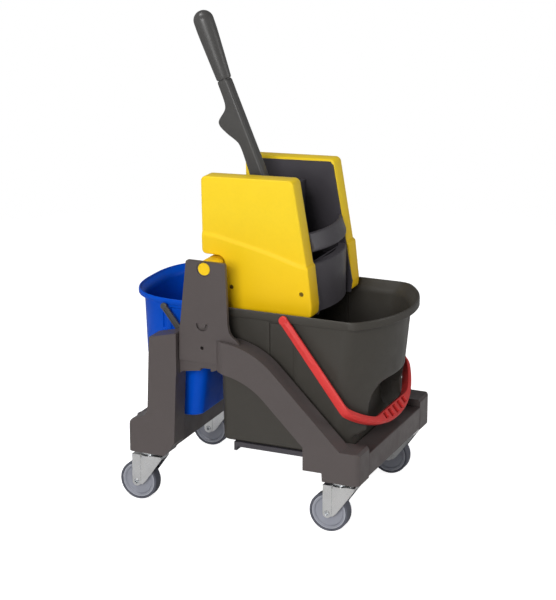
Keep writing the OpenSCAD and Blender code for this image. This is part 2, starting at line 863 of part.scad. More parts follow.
// lever
function lever_at(s, n) = [shaft_x + s * lever_dir[0] + n * lever_nrm[0],
  shaft_z + s * lever_dir[1] + n * lever_nrm[1]];

module lever_arm() {
  k = lever_length / 289;
  // the end face is square to the grip, which leans a little less than the arm
  tilt = 13 * tan(lever_lean - grip_lean);
  color(lever_grey)
    difference() {
      union() {
        xz(-lever_thickness / 2, lever_thickness / 2)
          polygon([lever_at(0, 20), lever_at(93 * k, 20), lever_at(190 * k, 17.5),
            lever_at(lever_length - 4 - tilt, 15), lever_at(lever_length - tilt, 13.5),
            lever_at(lever_length + tilt, -8), lever_at(lever_length - 3 + tilt, -9),
            lever_at(249 * k, -9), lever_at(236 * k, -12), lever_at(229 * k, -18.5),
            lever_at(222 * k, -28.5),
            lever_at(216 * k, -35), lever_at(210 * k, -36.5), lever_at(202 * k, -34.5),
            lever_at(186 * k, -25.5), lever_at(172 * k, -15.5), lever_at(163 * k, -10.5),
            lever_at(150 * k, -8.7), lever_at(104 * k, -9.8), lever_at(60 * k, -14), lever_at(0, -20)]);
        ycyl(shaft_x, shaft_z, -20, 20, 22);
        // spigot for the grip
        translate([joint_x, 0, joint_z])
          rotate([0, -grip_lean, 0])
            translate([0, 0, -6])
              cylinder(r = spigot_r, h = spigot_len + 6);
      }
      ycyl(shaft_x, shaft_z, -big / 2, big / 2, shaft_dia / 2 + nest / 2);
    }
}

module lever_grip() {
  r0 = 15;
  r1 = grip_dia / 2;
  ball = grip_length - r1;
  color(lever_grey)
    translate([joint_x, 0, joint_z])
      rotate([0, -grip_lean, 0])
        difference() {
          union() {
            translate([0, 0, 0.4])
              cylinder(r1 = r0 - 2, r2 = r0, h = 4);
            translate([0, 0, 4.4])
              cylinder(r1 = r0, r2 = r1, h = ball - 24.4);
            translate([0, 0, ball - 20.1])
              cylinder(r = r1, h = 20.1);
            translate([0, 0, ball])
              sphere(r = r1);
          }
          translate([0, 0, -20])
            cylinder(r = spigot_r + nest / 2, h = spigot_len + 21);
        }
}

module lever_shaft() {
  color(steel)
    ycyl(shaft_x, shaft_z, -liner_out - 5, liner_out + 5, shaft_dia / 2);
}

// sector gear: involute teeth, with one tooth pointing straight down at rest
function inv(r) = let (a = acos(min(1, gear_base / r))) tan(a) * 180 / PI - a;
function half_angle(r) = tooth_w / 2 / gear_radius * 180 / PI + inv(gear_radius)
  - inv(max(r, gear_base));
function polar(r, a) = [shaft_x + r * cos(a), shaft_z + r * sin(a)];

function gear_tooth(a) = let (r0 = gear_radius - gear_ded, r1 = gear_radius + gear_add, n = 5)
  concat([for (i = [0:n]) let (r = r0 + (r1 - r0) * i / n) polar(r, a - half_angle(r))],
    [for (i = [n:-1:0]) let (r = r0 + (r1 - r0) * i / n) polar(r, a + half_angle(r))]);

module sector_gear() {
  step = 360 / gear_teeth;
  teeth = floor(75 / step);
  color(zinc)
    difference() {
      union() {
        xz(gear_in, gear_in + gear_width)
          polygon(concat([for (k = [-teeth:1]) for (p = gear_tooth(-90 + k * step)) p],
            [polar(18, -60), polar(16, 20), polar(16, 110), polar(18, 195)]));
        ycyl(shaft_x, shaft_z, gear_in - 8, gear_in + gear_width, shaft_dia / 2 + 6);
      }
      ycyl(shaft_x, shaft_z, 0, big, shaft_dia / 2 + nest / 2);
    }
}

module sector_gear_near() {
  near() sector_gear();
}

module sector_gear_far() {
  sector_gear();
}

// racks behind the press plate, as long as the sweep of the lever needs
module rack() {
  fl = tan(gear_pa);
  sweep = gear_radius * lever_turn * PI / 180;
  last = ceil(sweep / gear_pitch - 0.5);
  left = shaft_x - (last + 0.5) * gear_pitch;
  hi = tooth_w / 2 - gear_add * fl;
  lo = tooth_w / 2 + gear_ded * fl;
  xz(gear_in, gear_in + gear_width)
    polygon(concat([[press_x, rack_z], [press_x, pitch_z - gear_ded]],
      [for (k = [0:last]) let (x = shaft_x + gear_pitch / 2 - (k + 1) * gear_pitch)
        for (p = [[x + lo, pitch_z - gear_ded], [x + hi, pitch_z + gear_add],
          [x - hi, pitch_z + gear_add], [x - lo, pitch_z - gear_ded]]) p],
      [[left - lo - 0.2, rack_z]]));
  // runner that slides on the guide rail
  box(left, press_x, gear_in + gear_width - 1, runner_out, rack_z, rack_z + 7);
}

module rack_near() {
  color(bucket_grey)
    near() rack();
}

module rack_far() {
  color(bucket_grey)
    rack();
}

module press_plate() {
  wide = liner_in - 2.5;
  color(bucket_grey)
    difference() {
      box(press_x, press_front, -wide, wide, liner_bottom + 9, axis_z + 128);
      both_sides()
        box(press_x - 1, press_front + 1, rail_in - free_gap, big, rack_z - 11.5, rack_z);
      // drain grooves in the pressing face
      for (y = [-60:20:60])
        box(press_front - 2.5, big, y - 3, y + 3, liner_bottom + 20, axis_z + 20);
    }
}

// torsion springs that swing the lever back up, each with one leg hooked in the rear wall
function spring_pts(last = spring_turns * spring_rings) = [for (i = [-1:last + 1]) for (j = [0:5])
  let (k = max(0, min(last, i)), t = hook_a + 360 * k / spring_rings, b = 60 * j,
    r = spring_r + spring_wire * cos(b),
    along = i < 0 ? leg_len : (i > last ? -free_leg : 0),
    y = spring_in + spring_pitch * k / spring_rings + spring_wire * sin(b))
  [shaft_x + r * cos(t) + along * sin(t), y, shaft_z + r * sin(t) - along * cos(t)]];

module return_spring() {
  pts = spring_pts();
  rows = len(pts) / 6;
  turn = 6 * spring_rings;
  least = min([for (i = [6:len(pts) - turn - 7]) for (j = [0:5])
    norm(pts[i] - pts[turn + 6 * floor(i / 6) + j])]);
  echo("least gap of a return spring to itself", least);
  polyhedron(pts, concat([for (j = [1:4]) [0, j + 1, j]],
    [for (i = [0:rows - 2]) for (j = [0:5])
      let (a = i * 6 + j, b = i * 6 + (j + 1) % 6) [a, b, b + 6]],
    [for (i = [0:rows - 2]) for (j = [0:5])
      let (a = i * 6 + j, b = i * 6 + (j + 1) % 6) [a, b + 6, a + 6]],
    [for (j = [1:4]) [6 * rows - 6, 6 * rows - 6 + j, 6 * rows - 5 + j]]));
}

module return_spring_near() {
  color(steel)
    near() return_spring();
}

module return_spring_far() {
  color(steel)
    return_spring();
}

// casters: built with the swivel axis at the origin
flange_z = boss_z - 11;
crown_top = flange_z - free_gap;
crown_bottom = crown_top - 6;
fork_in = wheel_width / 2 + 3;
fork_out = fork_in + fork_plate;
fork_face = fork_out + 1.5;
leg_half = 9;
wedge_x = 31;

module stem() {
  translate([0, 0, flange_z])
    cylinder(r1 = 19, r2 = 22, h = 4);
  translate([0, 0, flange_z + 4])
    cylinder(r = 22, h = boss_z - flange_z - 4);
  translate([0, 0, boss_z])
    cylinder(r = 7, h = 41);
  translate([0, 0, crown_bottom - 6])
    cylinder(r = 6, h = flange_z - crown_bottom + 7);
  translate([0, 0, crown_bottom - free_gap - 5])
    cylinder(r = 10, h = 5);
}

module fork() {
  color(zinc)
    difference() {
      union() {
        translate([0, 0, crown_bottom])
          cylinder(r = 23, h = crown_top - crown_bottom);
        box(-trail - leg_half, wedge_x, -fork_out, fork_out, crown_bottom, crown_top);
        both_sides() {
          // wedge-shaped cheek
          xz(fork_in, fork_out)
            polygon([[-trail - leg_half, crown_top], [wedge_x, crown_top], [wedge_x - 1, crown_top - 7],
              [-trail + 20, wheel_r + 3], [-trail + 12, wheel_r - 5], [-trail, wheel_r - 8],
              [-trail - leg_half, wheel_r]]);
          // leg that stands proud of the cheek
          xz(fork_out - 0.5, fork_face)
            polygon([[-trail - leg_half, crown_top], [-trail + leg_half, crown_top],
              [-trail + leg_half, wheel_r], [-trail - leg_half, wheel_r]]);
          ycyl(-trail, wheel_r, fork_in, fork_face, leg_half);
        }
      }
      translate([0, 0, crown_bottom - 1])
        cylinder(r = 6 + run, h = 10);
      ycyl(-trail, wheel_r, -big / 2, big / 2, axle_dia / 2 + nest / 2);
    }
}

// axle: a rivet with hollow ends
module axle() {
  color(steel)
    difference() {
      union() {
        ycyl(-trail, wheel_r, -fork_face - 1.2, fork_face + 1.2, axle_dia / 2);
        both_sides()
          ycyl(-trail, wheel_r, fork_face, fork_face + 1.2, axle_dia / 2 + 1.6);
      }
      both_sides()
        ycyl(-trail, wheel_r, fork_face - 7, big, axle_dia / 2 - 1.2);
    }
}

module hub() {
  r = wheel_r - tyre_thickness;
  w = wheel_width / 2 - 2;
  color(hub_grey)
    translate([-trail, 0, wheel_r])
      rotate([90, 0, 0])
        rotate_extrude($fn = 64)
          polygon([[axle_dia / 2 + run, -fork_in + 1], [10, -fork_in + 1], [10, -w + 4], [r - 7, -w + 3],
            [r - 5, -w], [r, -w], [r, w], [r - 5, w], [r - 7, w - 3], [10, w - 4], [10, fork_in - 1],
            [axle_dia / 2 + run, fork_in - 1]]);
}

module tyre() {
  r = wheel_r - tyre_thickness + nest / 2;
  w = wheel_width / 2;
  color(tyre_grey)
    translate([-trail, 0, wheel_r])
      rotate([90, 0, 0])
        rotate_extrude($fn = 64)
          polygon([[r, -w + 1], [r + 1, -w], [wheel_r - 1.8, -w], [wheel_r - 0.5, -w + 0.8],
            [wheel_r, -w + 3], [wheel_r, w - 3], [wheel_r - 0.5, w - 0.8], [wheel_r - 1.8, w],
            [r + 1, w], [r, w - 1]]);
}

module at_caster(sx, sy) {
  translate([sx * swivel_x, sy * swivel_y, 0])
    children();
}

module caster_stems() {
  color(steel)
    for (sx = [-1, 1])
      for (sy = [-1, 1])
        at_caster(sx, sy) stem();
}

side_frame_near();
side_frame_far();
left_end_bar();
right_end_bar();
base_tray();
upright_near();
upright_far();
upright_screws();
caster_stems();
grey_bucket();
wringer_body();
fixed_jaw();
front_lip();
wringer_cover_near();
wringer_cover_far();
cover_screws();
trunnion_near();
trunnion_far();
shaft_bushes();
blue_bucket();
red_bail();
dark_bail();
lever_arm();
lever_grip();
lever_shaft();
sector_gear_near();
sector_gear_far();
press_plate();
rack_near();
rack_far();
return_spring_near();
return_spring_far();
lock_pin_near();
lock_pin_far();
at_caster(-1, -1) fork();  // fork_near_left
at_caster(1, -1) fork();  // fork_near_right
at_caster(-1, 1) fork();  // fork_far_left
at_caster(1, 1) fork();  // fork_far_right
at_caster(-1, -1) axle();  // axle_near_left
at_caster(1, -1) axle();  // axle_near_right
at_caster(-1, 1) axle();  // axle_far_left
at_caster(1, 1) axle();  // axle_far_right
at_caster(-1, -1) hub();  // hub_near_left
at_caster(1, -1) hub();  // hub_near_right
at_caster(-1, 1) hub();  // hub_far_left
at_caster(1, 1) hub();  // hub_far_right
at_caster(-1, -1) tyre();  // tyre_near_left
at_caster(1, -1) tyre();  // tyre_near_right
at_caster(-1, 1) tyre();  // tyre_far_left
at_caster(1, 1) tyre();  // tyre_far_right
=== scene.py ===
import json
import math

import bmesh
import bpy
from mathutils import Matrix, Vector


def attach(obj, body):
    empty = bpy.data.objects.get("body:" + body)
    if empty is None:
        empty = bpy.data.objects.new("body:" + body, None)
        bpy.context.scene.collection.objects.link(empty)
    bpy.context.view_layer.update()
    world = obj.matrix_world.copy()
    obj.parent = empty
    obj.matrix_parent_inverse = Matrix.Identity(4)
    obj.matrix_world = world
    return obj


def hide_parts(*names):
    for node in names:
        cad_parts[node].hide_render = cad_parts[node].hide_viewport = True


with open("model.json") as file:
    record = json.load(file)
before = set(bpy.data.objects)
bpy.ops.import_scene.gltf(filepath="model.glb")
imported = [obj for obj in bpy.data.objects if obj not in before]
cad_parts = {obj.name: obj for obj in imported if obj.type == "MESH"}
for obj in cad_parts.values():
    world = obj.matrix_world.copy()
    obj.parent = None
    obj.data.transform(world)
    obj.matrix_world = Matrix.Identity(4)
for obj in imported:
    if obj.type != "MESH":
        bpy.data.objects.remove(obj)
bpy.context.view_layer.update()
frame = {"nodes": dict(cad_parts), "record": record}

nodes = frame["nodes"]
scene = bpy.context.scene
MM = 0.001
WELD_DISTANCE = 0.00001
SIDES = {"near": -1, "far": 1}


# numbers and curves

def srgb(code):
    """Hex colour to linear RGBA."""
    out = []
    for i in (0, 2, 4):
        c = int(code[i:i + 2], 16) / 255
        out.append(c / 12.92 if c <= 0.04045 else ((c + 0.055) / 1.055) ** 2.4)
    return (*out, 1.0)


def shade(colour, k):
    """The colour made k times as bright."""
    return (min(1, colour[0] * k), min(1, colour[1] * k), min(1, colour[2] * k), 1.0)


def smooth(t):
    """Eased step from 0 to 1."""
    t = max(0.0, min(1.0, t))
    return t * t * (3 - 2 * t)


def lerp(a, b, t):
    return a + (b - a) * t


def soft_min(a, b, k):
    """The lesser of two values, with the change from one to the other rounded over k."""
    h = max(0.0, min(1.0, 0.5 + 0.5 * (b - a) / k))
    return lerp(b, a, h) - k * h * (1 - h)


def window(v, lo, hi, soft):
    """1 between lo and hi and 0 outside, with soft ends."""
    return smooth((v - lo) / soft + 0.5) * smooth((hi - v) / soft + 0.5)


def along(marks, counts):
    """Stations from the first mark to the last, with so many steps between each pair."""
    out = [marks[0]]
    for a, b, n in zip(marks, marks[1:], counts):
        out += [lerp(a, b, i / n) for i in range(1, n + 1)]
    return out


def steps(lo, hi, n):
    """Stations from lo to hi in n equal steps."""
    return along([lo, hi], [n])


def turns(n):
    """n equal angles round a circle."""
    return [2 * math.pi * j / n for j in range(n)]


def circle(x, y, z, r, n):
    """n points of a circle about an axis along y."""
    return [(x + r * math.cos(a), y, z + r * math.sin(a)) for a in turns(n)]


def quarter(cx, cy, r, start, n):
    """A quarter circle in n steps, from an angle in degrees."""
    turn = [math.radians(start + 90 * i / n) for i in range(n + 1)]
    return [(cx + r * math.cos(a), cy + r * math.sin(a)) for a in turn]


def table(points, x):
    """Value at x of a line through (x, y) points, straight between them."""
    if x <= points[0][0]:
        return points[0][1]
    for (x0, y0), (x1, y1) in zip(points, points[1:]):
        if x <= x1:
            return lerp(y0, y1, (x - x0) / (x1 - x0))
    return points[-1][1]


def spline(points, x):
    """Catmull-Rom value at x through (x, y) points."""
    if x <= points[0][0]:
        return points[0][1]
    if x >= points[-1][0]:
        return points[-1][1]
    n = len(points)
    for i in range(n - 1):
        if x <= points[i + 1][0]:
            break
    x0, y0 = points[i]
    x1, y1 = points[i + 1]
    m0 = (y1 - points[i - 1][1]) / (x1 - points[i - 1][0]) if i > 0 else (y1 - y0) / (x1 - x0)
    m1 = (points[i + 2][1] - y0) / (points[i + 2][0] - x0) if i < n - 2 else (y1 - y0) / (x1 - x0)
    h = x1 - x0
    t = (x - x0) / h
    return ((2 * t ** 3 - 3 * t ** 2 + 1) * y0 + (t ** 3 - 2 * t ** 2 + t) * h * m0
            + (-2 * t ** 3 + 3 * t ** 2) * y1 + (t ** 3 - t ** 2) * h * m1)


# meshes and pieces

def face_out(mesh):
    """Turns the normals of a closed mesh outwards."""
    bm = bmesh.new()
    bm.from_mesh(mesh)
    bmesh.ops.recalc_face_normals(bm, faces=bm.faces)
    bm.to_mesh(mesh)
    bm.free()


def shade_smooth(mesh, angle):
    """Smooth shading, with edges sharper than the angle left hard."""
    bm = bmesh.new()
    bm.from_mesh(mesh)
    limit = math.radians(angle)
    for f in bm.faces:
        f.smooth = True
    for e in bm.edges:
        e.smooth = len(e.link_faces) == 2 and e.calc_face_angle(0) < limit
    bm.to_mesh(mesh)
    bm.free()


def solid_mesh(name, verts, faces):
    """A mesh in metres from millimetre points, with its normals facing out."""
    mesh = bpy.data.meshes.new(name)
    mesh.from_pydata([tuple(c * MM for c in p) for p in verts], [], faces)
    face_out(mesh)
    return mesh


def piece(name, verts, faces, body, material, replaces, angle):
    """A new piece from millimetre points in the shared frame."""
    mesh = bpy.data.meshes.new(name)
    mesh.from_pydata([(x * MM, y * MM, z * MM) for x, y, z in verts], [], faces)
    mesh.validate()
    return finish_piece(name, mesh, body, material, replaces, angle)


def finish_piece(name, mesh, body, material, replaces, angle):
    """Puts the mesh in the scene, on its body and in place of the CAD nodes that it stands for."""
    face_out(mesh)
    shade_smooth(mesh, angle)
    mesh.materials.clear()
    mesh.materials.append(material)
    ob = bpy.data.objects.new(name, mesh)
    scene.collection.objects.link(ob)
    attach(ob, body)
    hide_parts(*replaces)
    return ob


def rings_to_mesh(rings, loop=False):
    """Quads between closed rings of equal length, with capped ends or joined in a loop."""
    n, m = len(rings[0]), len(rings)
    verts = [p for r in rings for p in r]
    faces = []
    for i in range(m if loop else m - 1):
        a, b = i * n, ((i + 1) % m) * n
        for j in range(n):
            k = (j + 1) % n
            faces.append((a + j, a + k, b + k, b + j))
    if not loop:
        faces.append(tuple(range(n - 1, -1, -1)))
        faces.append(tuple((m - 1) * n + j for j in range(n)))
    return verts, faces


def join(*shells):
    """Several lists of points and faces as one."""
    verts, faces = [], []
    for more_verts, more_faces in shells:
        faces += [tuple(i + len(verts) for i in f) for f in more_faces]
        verts += more_verts
    return verts, faces


def add_shells(mesh, shells):
    """Adds shells with millimetre points to a mesh in metres."""
    bm = bmesh.new()
    bm.from_mesh(mesh)
    for verts, faces in shells:
        made = [bm.verts.new(tuple(c * MM for c in p)) for p in verts]
        for f in faces:
            bm.faces.new([made[i] for i in f])
    bm.to_mesh(mesh)
    bm.free()


# most of its shorter side that a rounded corner may take up
CORNER_SHARE = 0.48


def round_corners(points, radii, count):
    """Closed 2-D outline with each corner rounded by its own radius in so many steps."""
    out = []
    n = len(points)
    for i in range(n):
        p = Vector(points[i])
        a = Vector(points[i - 1]) - p
        b = Vector(points[(i + 1) % n]) - p
        r = radii[i]
        la, lb = a.length, b.length
        a.normalize()
        b.normalize()
        half = math.acos(max(-1, min(1, a.dot(b)))) / 2
        cut = r / math.tan(half)
        limit = CORNER_SHARE * min(la, lb)
        if cut > limit:
            cut = limit
            r = cut * math.tan(half)
        centre = p + (a + b).normalized() * (r / math.sin(half))
        s, e = p + a * cut - centre, p + b * cut - centre
        a0 = math.atan2(s.y, s.x)
        turn = (math.atan2(e.y, e.x) - a0 + math.pi) % (2 * math.pi) - math.pi
        for k in range(count + 1):
            t = a0 + turn * k / count
            out.append((centre.x + r * math.cos(t), centre.y + r * math.sin(t)))
    return out


def cut_out(mesh, cutters):
    """The mesh with each cutter mesh taken out of it."""
    ob = bpy.data.objects.new("cut", mesh)
    scene.collection.objects.link(ob)
    made = []
    for cutter in cutters:
        tool = bpy.data.objects.new("cutter", cutter)
        scene.collection.objects.link(tool)
        made.append(tool)
        m = ob.modifiers.new("hole", "BOOLEAN")
        m.operation = "DIFFERENCE"
        m.solver = "EXACT"
        m.object = tool
    bpy.context.view_layer.update()
    done = bpy.data.meshes.new_from_object(ob.evaluated_get(bpy.context.evaluated_depsgraph_get()))
    for o in [ob] + made:
        bpy.data.objects.remove(o)
    return done


# materials

def base_material(name):
    """A new material with its nodes, links and main shader."""
    mat = bpy.data.materials.new(name)
    mat.use_nodes = True
    tree = mat.node_tree
    return mat, tree.nodes, tree.links, tree.nodes["Principled BSDF"]


def noise(n, l, coord, scale, detail=4.0, rough=0.55, stretch=None):
    """Noise at a coordinate, stretched along its axes where asked."""
    node = n.new("ShaderNodeTexNoise")
    node.inputs["Scale"].default_value = scale
    node.inputs["Detail"].default_value = detail
    node.inputs["Roughness"].default_value = rough
    if stretch:
        m = n.new("ShaderNodeMapping")
        m.inputs["Scale"].default_value = stretch
        l.new(coord, m.inputs["Vector"])
        coord = m.outputs["Vector"]
    l.new(coord, node.inputs["Vector"])
    return node.outputs["Fac"]


def ramp(n, l, value, stops):
    """Colour ramp through (position, colour) stops."""
    r = n.new("ShaderNodeValToRGB")
    while len(r.color_ramp.elements) < len(stops):
        r.color_ramp.elements.new(0.5)
    for e, (pos, col) in zip(r.color_ramp.elements, stops):
        e.position = pos
        e.color = col
    l.new(value, r.inputs["Fac"])
    return r.outputs["Color"]


def span(n, l, value, lo, hi, a=0.3, b=0.7):
    """Maps a value from the range a to b on to the range lo to hi."""
    m = n.new("ShaderNodeMapRange")
    m.inputs["From Min"].default_value = a
    m.inputs["From Max"].default_value = b
    m.inputs["To Min"].default_value = lo
    m.inputs["To Max"].default_value = hi
    l.new(value, m.inputs["Value"])
    return m.outputs["Result"]


def mix(n, l, fac, a, b):
    """Blend of two colours, each a socket or a fixed colour."""
    m = n.new("ShaderNodeMix")
    m.data_type = "RGBA"
    for sock, v in ((m.inputs["Factor"], fac), (m.inputs[6], a), (m.inputs[7], b)):
        if isinstance(v, tuple):
            sock.default_value = v
        else:
            l.new(v, sock)
    return m.outputs[2]


def bump(n, l, height, strength, distance, under=None):
    """Fine relief from a height, laid over another normal where one is given."""
    b = n.new("ShaderNodeBump")
    b.inputs["Strength"].default_value = strength
    b.inputs["Distance"].default_value = distance
    l.new(height, b.inputs["Height"])
    if under is not None:
        l.new(under, b.inputs["Normal"])
    return b.outputs["Normal"]


def vector_math(n, l, operation, value, by=None):
    """A vector node, whose result is a number for LENGTH and a vector for the others."""
    m = n.new("ShaderNodeVectorMath")
    m.operation = operation
    l.new(value, m.inputs[0])
    if by:
        m.inputs[1].default_value = by
    return m.outputs["Value" if operation == "LENGTH" else "Vector"]


def plastic(name, code, rough, var, grain, grain_size, scuff, painted_shade_low=None, spec=0.45):
    """Moulded plastic: slight colour drift, fine grain and faint scuffs.

    low is painted shade: a second, darker colour towards the bottom, and the heights in metres between
    which it fades into the first.
    """
    mat, n, l, bsdf = base_material(name)
    colour = srgb(code)
    obj = n.new("ShaderNodeTexCoord").outputs["Object"]
    drift = noise(n, l, obj, scale=7.0, detail=3.0)
    col = ramp(n, l, drift, [(0.25, shade(colour, 1 - var)), (0.75, shade(colour, 1 + var * 0.6))])
    mottle = noise(n, l, obj, scale=160.0, detail=5.0, rough=0.7)
    col = mix(n, l, span(n, l, mottle, lo=0.0, hi=0.22), col, shade(colour, 0.82))
    # painted shade: a darker, oranger colour blended in towards the bottom
    if painted_shade_low:
        second, z0, z1 = painted_shade_low
        height = n.new("ShaderNodeSeparateXYZ")
        l.new(obj, height.inputs["Vector"])
        painted_shade_share = span(n, l, height.outputs["Z"], lo=0.85, hi=0.0, a=z0, b=z1)
        col = mix(n, l, painted_shade_share, col, srgb(second))
    streak = noise(n, l, obj, scale=60.0, detail=6.0, rough=0.65, stretch=(1.0, 1.0, 9.0))
    mark = span(n, l, streak, lo=0.0, hi=scuff, a=0.62, b=0.74)
    light = shade((colour[0] + 0.05, colour[1] + 0.05, colour[2] + 0.05, 1), 1.25)
    col = mix(n, l, mark, col, light)
    l.new(col, bsdf.inputs["Base Color"])
    patch = noise(n, l, obj, scale=26.0)
    l.new(span(n, l, patch, lo=rough - 0.07, hi=rough + 0.09), bsdf.inputs["Roughness"])
    bsdf.inputs["Specular IOR Level"].default_value = spec
    fine = noise(n, l, obj, scale=1000.0 / grain_size, detail=2.0, rough=0.5)
    wave = noise(n, l, obj, scale=35.0, detail=2.0)
    grained = bump(n, l, fine, strength=grain, distance=0.0003)
    l.new(bump(n, l, wave, strength=0.12, distance=0.0012, under=grained), bsdf.inputs["Normal"])
    return mat


def metal(name, code, rough, brushed=(1.0, 1.0, 1.0)):
    """Plated steel: soft patches of shade, fine brushing and a little scatter in the gloss."""
    mat, n, l, bsdf = base_material(name)
    colour = srgb(code)
    obj = n.new("ShaderNodeTexCoord").outputs["Object"]
    drift = noise(n, l, obj, scale=22.0)
    col = ramp(n, l, drift, [(0.3, shade(colour, 0.90)), (0.7, shade(colour, 1.05))])
    fleck = noise(n, l, obj, scale=420.0, detail=3.0, rough=0.6)
    col = mix(n, l, span(n, l, fleck, lo=0.0, hi=0.16), col, shade(colour, 0.8))
    l.new(col, bsdf.inputs["Base Color"])
    bsdf.inputs["Metallic"].default_value = 1.0
    hair = noise(n, l, obj, scale=220.0, detail=5.0, rough=0.7, stretch=brushed)
    l.new(span(n, l, hair, lo=rough - 0.06, hi=rough + 0.10), bsdf.inputs["Roughness"])
    l.new(bump(n, l, hair, strength=0.10, distance=0.0002), bsdf.inputs["Normal"])
    return mat


def wheel_hub(name, code, edge):
    """Moulded wheel body with a paler ring painted near its outer edge."""
    mat = plastic(name, code, rough=0.40, var=0.05, grain=0.2, grain_size=1.0, scuff=0.12)
    n, l = mat.node_tree.nodes, mat.node_tree.links
    bsdf = n["Principled BSDF"]
    own = n.new("ShaderNodeTexCoord").outputs["Generated"]
    centred = vector_math(n, l, "SUBTRACT", own, (0.5, 0.5, 0.5))
    flat = vector_math(n, l, "MULTIPLY", centred, (1.0, 0.0, 1.0))
    rim = span(n, l, vector_math(n, l, "LENGTH", flat), lo=0.0, hi=0.8, a=0.470, b=0.482)
    base = bsdf.inputs["Base Color"].links[0].from_socket
    l.new(mix(n, l, rim, base, srgb(edge)), bsdf.inputs["Base Color"])
    return mat


def rubber(name, code):
    """Grey tyre rubber with some dust on it."""
    mat, n, l, bsdf = base_material(name)
    colour = srgb(code)
    obj = n.new("ShaderNodeTexCoord").outputs["Object"]
    dust = noise(n, l, obj, scale=55.0, detail=6.0, rough=0.7)
    col = ramp(n, l, dust, [(0.35, shade(colour, 0.8)), (0.6, colour), (0.8, shade(colour, 1.35))])
    l.new(col, bsdf.inputs["Base Color"])
    l.new(span(n, l, dust, lo=0.58, hi=0.8), bsdf.inputs["Roughness"])
    fine = noise(n, l, obj, scale=900.0, detail=3.0)
    l.new(bump(n, l, fine, strength=0.3, distance=0.0003), bsdf.inputs["Normal"])
    return mat


FRAME = plastic("frame_plastic", "544D4C", rough=0.40, var=0.06, grain=0.35, grain_size=1.0,
                scuff=0.10, spec=0.35)
GREY = plastic("grey_bucket_plastic", "403D38", rough=0.42, var=0.07, grain=0.3, grain_size=1.1,
               scuff=0.08, spec=0.30)
WRINGER = plastic("wringer_plastic", "454247", rough=0.42, var=0.08, grain=0.25, grain_size=1.0,
                  scuff=0.10, spec=0.35)
# the yellow is painted darker and oranger towards the bottom, as shade
YELLOW = plastic("yellow_plastic", "F7D327", rough=0.42, var=0.03, grain=0.12, grain_size=1.2,
                 scuff=0.08, painted_shade_low=("F5C200", 0.40, 0.60), spec=0.22)
BLUE = plastic("blue_plastic", "024EC4", rough=0.38, var=0.05, grain=0.15, grain_size=1.2,
               scuff=0.03, spec=0.10)
RED = plastic("red_plastic", "D83C3A", rough=0.42, var=0.05, grain=0.2, grain_size=1.1,
              scuff=0.08, spec=0.25)
LEVER = plastic("lever_plastic", "4A4948", rough=0.36, var=0.07, grain=0.25, grain_size=0.9,
                scuff=0.10, spec=0.35)
ZINC = metal("zinc", "DADADA", rough=0.20)
STEEL = metal("steel", "D2D4D6", rough=0.22, brushed=(1, 14, 14))
# painted shade: a dark brown metal on the cover screws, standing for the shade in their holes
SCREW_HOLE_SHADE = metal("screw_painted_hole_shade", "8A7030", rough=0.5)
HUB = wheel_hub("hub_plastic", "90929C", "B8BAC2")
TYRE = rubber("tyre", "565862")

SLOT_MATERIAL = {
    "frame_plastic": FRAME, "grey_bucket_plastic": GREY, "wringer_plastic": WRINGER,
    "yellow_plastic": YELLOW, "blue_plastic": BLUE, "red_plastic": RED, "lever_plastic": LEVER,
    "zinc": ZINC, "steel": STEEL, "hub_plastic": HUB, "tyre": TYRE,
}
SLOT_OF = {s["node"]: s["material_slot"] for s in frame["record"]["subparts"]}


# CAD nodes: finish and softened edges

# edge radii in millimetres, by node, then by the first word of its name
EDGE = {
    "side_frame_near": 3.0, "side_frame_far": 3.0, "left_end_bar": 2.4, "right_end_bar": 2.4,
    "base_tray": 1.4, "upright_near": 1.8, "upright_far": 1.8, "wringer_body": 1.2, "fixed_jaw": 0.8,
    "front_lip": 1.0, "press_plate": 0.9, "sector_gear_near": 0.4, "sector_gear_far": 0.4,
    "lock_pin_near": 1.0, "lock_pin_far": 1.0,
}
KIND_EDGE = {"fork": 0.9, "axle": 0.6, "hub": 0.6, "tyre": 0.8}
SMALL_EDGE = 0.5
EDGE_ANGLE, EDGE_SEGMENTS = 32, 3


def soften(node, width):
    """Gives a CAD node its material and soft edges."""
    ob = nodes[node]
    ob.data.materials.clear()
    ob.data.materials.append(SLOT_MATERIAL[SLOT_OF[node]])
    for p in ob.data.polygons:
        p.use_smooth = True
    round_edges(ob, width)


def round_edges(ob, width):
    """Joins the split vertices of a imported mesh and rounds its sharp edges."""
    w = ob.modifiers.new("join", "WELD")
    w.merge_threshold = WELD_DISTANCE
    d = ob.modifiers.new("flat", "DECIMATE")
    d.decimate_type = "DISSOLVE"
    d.angle_limit = math.radians(0.6)
    b = ob.modifiers.new("edges", "BEVEL")
    b.width = width * MM
    b.segments = EDGE_SEGMENTS
    b.limit_method = "ANGLE"
    b.angle_limit = math.radians(EDGE_ANGLE)
    b.use_clamp_overlap = True
    b.harden_normals = False
    b.miter_outer = "MITER_ARC"
    wn = ob.modifiers.new("normals", "WEIGHTED_NORMAL")
    wn.keep_sharp = True
    wn.weight = 60


for name in nodes:
    soften(name, EDGE.get(name, KIND_EDGE.get(name.split("_")[0], SMALL_EDGE)))
# the screws take the dark brown that stands for the shade in their holes
nodes["cover_screws"].data.materials[0] = SCREW_HOLE_SHADE

# the chamfer at the right end in x and z, and how far across the corner block it is cut
CORNER_CHAMFER = [(246.4, 174.6), (252.6, 168.4), (253.6, 175.6)]
CORNER_BLOCK = (140, 157.5)


